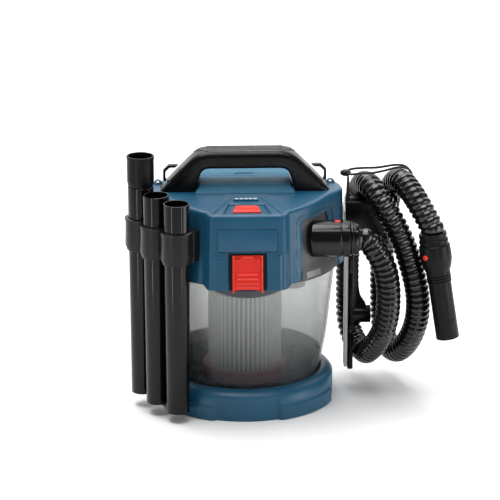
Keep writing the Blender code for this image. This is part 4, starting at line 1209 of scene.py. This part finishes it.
def make_skirt_shade_plates(tank_radius):
    """Dark plates on the tank behind the latches, with a curved lower edge below the head's skirt: painted
    shade for the shade under the skirt and the dark parts seen through the tank.
    """
    for side, name in ((-1, "front_shade_plate"), (1, "rear_shade_plate")):
        rows = []
        for i in range(41):
            x = 0.0565 * (i / 20 - 1.0)
            low = 0.2005 + 0.0115 * (x / 0.0565) ** 2
            column = []
            for lift in (0.0008, -0.0008):
                heights = [low + (0.2190 - low) * k / 6 for k in range(7)]
                for z in heights if lift > 0 else reversed(heights):
                    reach = tank_radius(z) + lift
                    column.append((x, side * math.sqrt(reach**2 - x**2), z))
            rows.append(column)
        fit(made_object(name, grid_mesh(rows), 50.0), slate, "bucket", "dark_grey_panel")


# The filter and what shows through the tank.
def make_filter(round_copies):
    count = 46
    outer, inner = 0.0574, 0.0470
    half = math.pi / count
    fold = [
        (outer * math.cos(-0.20 * half), outer * math.sin(-0.20 * half)),
        (outer * math.cos(0.20 * half), outer * math.sin(0.20 * half)),
        (inner * math.cos(half * 0.98), inner * math.sin(half * 0.98)),
        (0.0445 * math.cos(half * 0.98), 0.0445 * math.sin(half * 0.98)),
        (0.0445 * math.cos(-half * 0.98), 0.0445 * math.sin(-half * 0.98)),
        (inner * math.cos(-half * 0.98), inner * math.sin(-half * 0.98)),
    ]
    pleat = made_object("pleats", prism(fold, "Z", 0.0523, 0.2037))
    pleats = grown(pleat, round_copies, {"Count": count, "Finish": paper}, 50.0)
    fit(pleats, paper, "head", "filter_paper", "filter")
    flange = (
        (0.0380, 0.2040), (0.0582, 0.2040), (0.0582, 0.1735), (0.0620, 0.1735), (0.0628, 0.1750),
        (0.0632, 0.2030), (0.0665, 0.2040), (0.0680, 0.2055), (0.0680, 0.2092), (0.0668, 0.2102),
        (0.0680, 0.2114), (0.0680, 0.2150), (0.0640, 0.2176), (0.0380, 0.2176),
    )
    mount = made_object("filter_ring", turned(softened(flange, 0.0008, 3), 96))
    fit(mount, dark, "head", "dark_grey_panel", "filter_flange")
    nut = (
        (0.0008, 0.0310), (0.0640, 0.0310), (0.0658, 0.0330), (0.0660, 0.0505), (0.0650, 0.0520),
        (0.0008, 0.0520),
    )
    body = made_object("retainer_cup", turned(softened(nut, 0.0016, 3, closed=False), 96, hollow=False))
    rib = block((0.0640, -0.0012, 0.0400), (0.0668, 0.0012, 0.0500), 0.0006, 2)
    ribs = grown(made_object("ribs", rib), round_copies, {"Count": 30, "Finish": red_painted_shade})
    grip = made_object("wing", block((-0.040, -0.004, 0.0255), (0.040, 0.004, 0.0318), 0.0018, 3))
    # The retainer takes the darker red, painted shade.
    fit(merged(body, ribs, grip), red_painted_shade, "filter_retainer", "red_control", "filter_retainer")


def make_fan(round_copies):
    hub = (
        (0.0008, 0.2255), (0.046, 0.2255), (0.046, 0.2268), (0.014, 0.2300), (0.006, 0.2385),
        (0.0008, 0.2385),
    )
    disc = made_object("fan_wheel", turned(softened(hub, 0.001, 2, closed=False), 72, hollow=False))
    sweep = (
        (0.012, 0.0, 0.2290), (0.022, 0.004, 0.2305), (0.033, 0.006, 0.2305),
        (0.044, 0.004, 0.2290),
    )
    blade = wire(sweep, 0.0016, 8)
    blades = grown(made_object("blades", blade), round_copies, {"Count": 12, "Finish": steel})
    fit(merged(disc, blades), steel, "fan", "steel", "fan")


# The port on the head's right.
def make_port():
    step = RECESS_X + 0.0012 - PORT_ROOT_X
    length = PORT_END_X - PORT_ROOT_X
    shape = (
        (0.0008, 0.0), (0.0070, 0.0),
        (0.0080, step + 0.0040),
        *((PORT_R * math.sin(math.radians(t)), step + 0.0160 - 0.0120 * math.cos(math.radians(t)))
          for t in range(25, 90, 8)),
        (PORT_R, length - 0.0150),
        (PORT_R - 0.0007, length - 0.0142),
        (PORT_R - 0.0007, length - 0.0128),
        (PORT_R, length - 0.0120),
        (PORT_R, length),
        (0.0215, length),
        (0.0215, step + 0.0260),
        (0.0008, step + 0.0240),
    )
    tube = turned(softened(shape, 0.0010, 3, closed=False), 96, hollow=False)
    lay_along(tube, (PORT_ROOT_X, PORT_Y, PORT_Z), (1, 0, 0))
    stub = made_object("port_stub", tube, 30.0)
    low = (0.1330, PORT_Y - 0.0055, PORT_Z + 0.015)
    window = block(low, (0.1470, PORT_Y + 0.0055, PORT_Z + 0.040), 0.0012)
    cut(stub, [window], solver="EXACT")
    fit(edged(stub, 0.0004, 2, 40.0), gloss, "head", "black_shell", "inlet_stub")
    low = (0.1345, PORT_Y - 0.0040, PORT_Z + 0.0240)
    cap = block(low, (0.1440, PORT_Y + 0.0040, PORT_Z + 0.0286), 0.0014, 4)
    fit(made_object("release_key", cap), red, "release_button", "red_control", "release_button")


# The stored tools.
def radius_at(base_z, height):
    return WAND_LOW_R + (WAND_TOP_R - WAND_LOW_R) * (height - base_z) / WAND_LENGTH


def make_wands():
    for i, (x, y, base_z) in enumerate(WANDS, 1):
        top_z = base_z + WAND_LENGTH
        shape = (
            (WAND_LOW_R - WAND_WALL, base_z),
            (WAND_LOW_R, base_z),
            (WAND_TOP_R, top_z),
            (WAND_TOP_R - WAND_WALL, top_z),
        )
        tube = turned(softened(shape, 0.0007, 3), 80, (x, y))
        fit(made_object(f"tube_{i}", tube, 30.0), tube_black, f"wand_{i}", "black_tube", f"wand_{i}")
    x, y, base_z = WANDS[0]
    mouth = base_z + WAND_LENGTH
    shape = (
        (0.0145, mouth - 0.030),
        (0.0165, mouth - 0.030),
        (0.0171, mouth + 0.0003),
        (0.0190, mouth + 0.0003),
        (0.0198, mouth + 0.0040),
        (0.0206, mouth + 0.0090),
        (0.0207, 0.3960), (0.0212, 0.3985), (0.0212, 0.4020), (0.0184, 0.4020),
        (0.0182, mouth + 0.008),
        (0.0145, mouth + 0.002),
    )
    adapter = turned(softened(shape, 0.0008, 3), 80, (x, y))
    fit(made_object("adapter_cuff", adapter, 30.0), soft, "tool_adapter", "soft_grip", "tool_adapter")


def make_clip():
    def sleeve(radius, centre):
        rim = ((0.0006, CLIP_LOW_Z), (radius - 0.0022, CLIP_LOW_Z), (radius + 0.0003, CLIP_LOW_Z + 0.009),
               (radius - 0.0004, CLIP_TOP_Z - 0.007), (radius + 0.0006, CLIP_TOP_Z - 0.0030),
               (radius + 0.0006, CLIP_TOP_Z - 0.0008), (radius - 0.0004, CLIP_TOP_Z), (0.0006, CLIP_TOP_Z))
        return turned(rim, 64, centre, hollow=False)

    body = made_object("tube_clip", sleeve(CLIP_R, WANDS[0][:2]))
    parts = [sleeve(CLIP_R, wand[:2]) for wand in WANDS[1:]]
    for i in range(2):
        a, b = Vector(WANDS[i][:2]), Vector(WANDS[i + 1][:2])
        across = (b - a).normalized().orthogonal() * 0.012
        web = [tuple(a - across), tuple(b - across), tuple(b + across), tuple(a + across)]
        parts.append(prism(web, "Z", CLIP_LOW_Z + 0.004, CLIP_TOP_Z - 0.004))
    tab = ((-0.1400, -0.1020), (-0.1060, -0.1270), (-0.0800, -0.1270), (-0.0720, -0.1180), (-0.1180, -0.0740))
    parts.append(prism(tab, "Z", CLIP_LOW_Z, CLIP_TOP_Z - 0.002))
    cut(body, parts, "UNION", "EXACT")
    rows = []
    for height in (0.240, 0.280, 0.320):
        points = [column_at(c, height) for c in head_columns(0.004, 0.006)]
        rows.append([(p.x, p.y, height) for p in pushed_in(points, [-0.0004] * len(points))])
    bores = [grid_mesh(rows)]
    for x, y, base_z in WANDS:
        low, high = CLIP_LOW_Z - 0.005, CLIP_TOP_Z + 0.005
        bore = ((radius_at(base_z, low) + 0.0005, low), (radius_at(base_z, high) + 0.0005, high))
        bores.append(turned(bore, 64, (x, y), hollow=False))
    cut(body, bores, solver="EXACT")
    fit(edged(body, 0.0007, 2, 40.0), black, "head", "black_shell", "wand_clip")


def make_bracket():
    saddle = (
        (0.0, 0.2590), (0.0500, 0.2590), (0.0500, 0.2870), (0.0460, 0.2945), (0.0380, 0.3030),
        (0.0315, 0.3080), (0.0260, 0.3110), (0.0180, 0.3140), (0.0100, 0.3132), (0.0, 0.3085),
    )
    body = made_object("hose_saddle", prism(softened(saddle, 0.003, 3), "X", 0.1565, 0.2380))
    post = softened(((0.1570, 0.3065), (0.1640, 0.3065), (0.1620, 0.3500), (0.1590, 0.3500)), 0.001, 2)
    cut(body, [prism(post, "Y", 0.0020, 0.0090)], "UNION", "EXACT")
    pocket = block((0.1400, 0.0070, 0.2400), (0.2500, 0.0370, 0.2870))
    cut(body, [pocket], solver="EXACT")
    fit(edged(body, 0.0009, 2, 40.0), black, "head", "black_shell", "hose_bracket")
    knob = (
        (0.0006, 0.3504), (0.0060, 0.3508), (0.0086, 0.3535), (0.0086, 0.3560), (0.0066, 0.3590),
        (0.0006, 0.3600),
    )
    stud = turned(softened(knob, 0.0016, 3, closed=False), 40, (0.1565, 0.0055), hollow=False)
    fit(made_object("strap_stud", stud), soft, "head", "soft_grip", "strap_knob")


def make_strap():
    """Two thin rubber strands from the stud, over the hose, to the bracket's outer end."""
    front = (
        (0.1565, 0.0020, 0.3555), (0.1650, -0.0060, 0.3555), (0.1800, -0.0090, 0.3580),
        (0.1960, -0.0080, 0.3580), (0.2150, 0.0000, 0.3590), (0.2380, 0.0080, 0.3620),
        (0.2560, 0.0170, 0.3560), (0.2625, 0.0240, 0.3400), (0.2600, 0.0270, 0.3200),
        (0.2440, 0.0270, 0.3110),
    )
    back = (
        (0.1565, 0.0125, 0.3555), (0.1680, 0.0230, 0.3560), (0.1860, 0.0280, 0.3560),
        (0.2080, 0.0300, 0.3560), (0.2380, 0.0300, 0.3600), (0.2540, 0.0290, 0.3560),
        (0.2620, 0.0290, 0.3400), (0.2580, 0.0300, 0.3180), (0.2400, 0.0300, 0.3110),
    )
    strands = [wire(catmull(strand, 8), 0.0019, 12) for strand in (front, back)]
    fit(joined("elastic_strands", strands), rubber, "head", "rubber", "hose_strap")


def make_nozzle(row_copies):
    face = softened(((0.0080, 0.0290), (0.0360, 0.0290), (0.0360, 0.2850), (0.0080, 0.2850)), 0.004, 3)
    body = made_object("nozzle_bar", prism(face, "X", 0.1630, 0.1715, 0.0018, 3))
    neck = (
        (0.0006, 0.0), (0.0136, 0.0), (0.0139, 0.0300), (0.0126, 0.0300), (0.0124, 0.0050),
        (0.0006, 0.0050),
    )
    tube = turned(softened(neck, 0.0012, 3, closed=False), 64, hollow=False)
    throat = made_object("throat", lay_along(tube, (0.1690, *NECK_YZ), (1, 0, 0)))
    foot = turned(((0.0006, 0.0), (0.0137, 0.0), (0.0137, 0.0060), (0.0006, 0.0060)), 64, hollow=False)
    cone = lay_along(foot, (0.1700, *NECK_YZ), (1, 0, 0))
    band = softened(((0.0134, 0.0), (0.0139, 0.0), (0.0139, 0.0035), (0.0134, 0.0035)), 0.0003, 2)
    collar = lay_along(turned(band, 64), (0.1950, *NECK_YZ), (1, 0, 0))
    web = (
        (0.1700, 0.2700), (0.1785, 0.2660), (0.1795, 0.1700), (0.1830, 0.1480), (0.1930, 0.1340),
        (0.1930, 0.1090), (0.1790, 0.1050), (0.1728, 0.1000), (0.1700, 0.0940),
    )
    rib = prism(softened(web, 0.006, 4), "Y", 0.0160, 0.0280, 0.0012, 2)
    merged(body, throat, joined("collar", [cone, collar, rib]))
    wells = []
    for height in (0.0940, 0.1930):
        drill = turned(((0.0027, 0.0), (0.0027, 0.008)), 24, hollow=False)
        wells.append(lay_along(drill, (0.1672, 0.0070, height), (0, 1, 0)))
    cut(body, wells, solver="EXACT")
    fit(body, black, "floor_nozzle", "black_shell", "floor_nozzle")
    cap = ((0.0006, 0.0), (0.0026, 0.0), (0.0030, 0.0006), (0.0030, 0.0012), (0.0006, 0.0012))
    head = turned(softened(cap, 0.0003, 2, closed=False), 24, hollow=False)
    lay_along(head, (0.1672, 0.0140, 0.0940), (0, -1, 0))
    values = {"Count": 2, "Step": (0.0, 0.0, 0.0990), "Finish": gloss}
    screws = grown(made_object("nozzle_screws", head), row_copies, values)
    fit(screws, gloss, "floor_nozzle", "black_shell")
    strip = block((0.1575, 0.0100, 0.0330), (0.1628, 0.0340, 0.2810), 0.0012, 3)
    fit(made_object("felt_pad", strip), felt, "floor_nozzle", "felt", "nozzle_felt")


def paint_nodes():
    """Finishes for the frame's own nodes that stay in view."""
    finishes = {
        "battery_bay": black,
        "battery_pack": case_grey,
        "battery_terminal": dark,
        "motor_plate": dark,
        "tank_seal": rubber,
        "fan_housing": black,
        "motor": steel,
        "circuit_board": board_green,
        "float_cage": dark,
        "float_ball": white_ball,
        "inlet_duct": dark,
    }
    for node, finish in finishes.items():
        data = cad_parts[node].data
        data.materials.clear()
        data.materials.append(finish)


make_camera()
make_stage()
soft_box("left_strip", (-0.50, -0.55, 0.21), (0.05, 0.40), 0.50, (-0.13, -0.10, 0.21))
soft_box("right_strip", (0.38, -0.62, 0.21), (0.05, 0.40), 0.42, (-0.13, -0.10, 0.21))
soft_box("right_panel", (1.00, -0.40, 0.30), (0.50, 0.58), 3.4, (0.0, 0.0, 0.25))
soft_box("back_panel", (0.0, 2.3, 0.95), (6.0, 1.7), 34.0)
soft_box("upper_panel", (0.0, 1.5, 2.15), (5.0, 1.7), 62.0)
soft_box("front_top", (0.0, -0.8, 2.4), (2.2, 0.5), 22.0)
round_copies = round_copies_tree()
row_copies = row_copies_tree()
make_connector()
make_grip()
make_hose()
make_head_shell()
make_port_panel()
make_name_plate()
make_latch("front_catch", "front_latch", -1)
make_latch("rear_catch", "rear_latch", 1)
# Black sheets painted as shade in the latch pockets.
make_pocket_shade()
make_power_button()
make_gauge(row_copies)
make_top_covers()
make_handle()
make_strap_loops()
make_loop_screws()
make_base()
make_tank()
make_filter(round_copies)
make_fan(round_copies)
make_port()
make_wands()
make_clip()
make_bracket()
make_strap()
make_nozzle(row_copies)
paint_nodes()
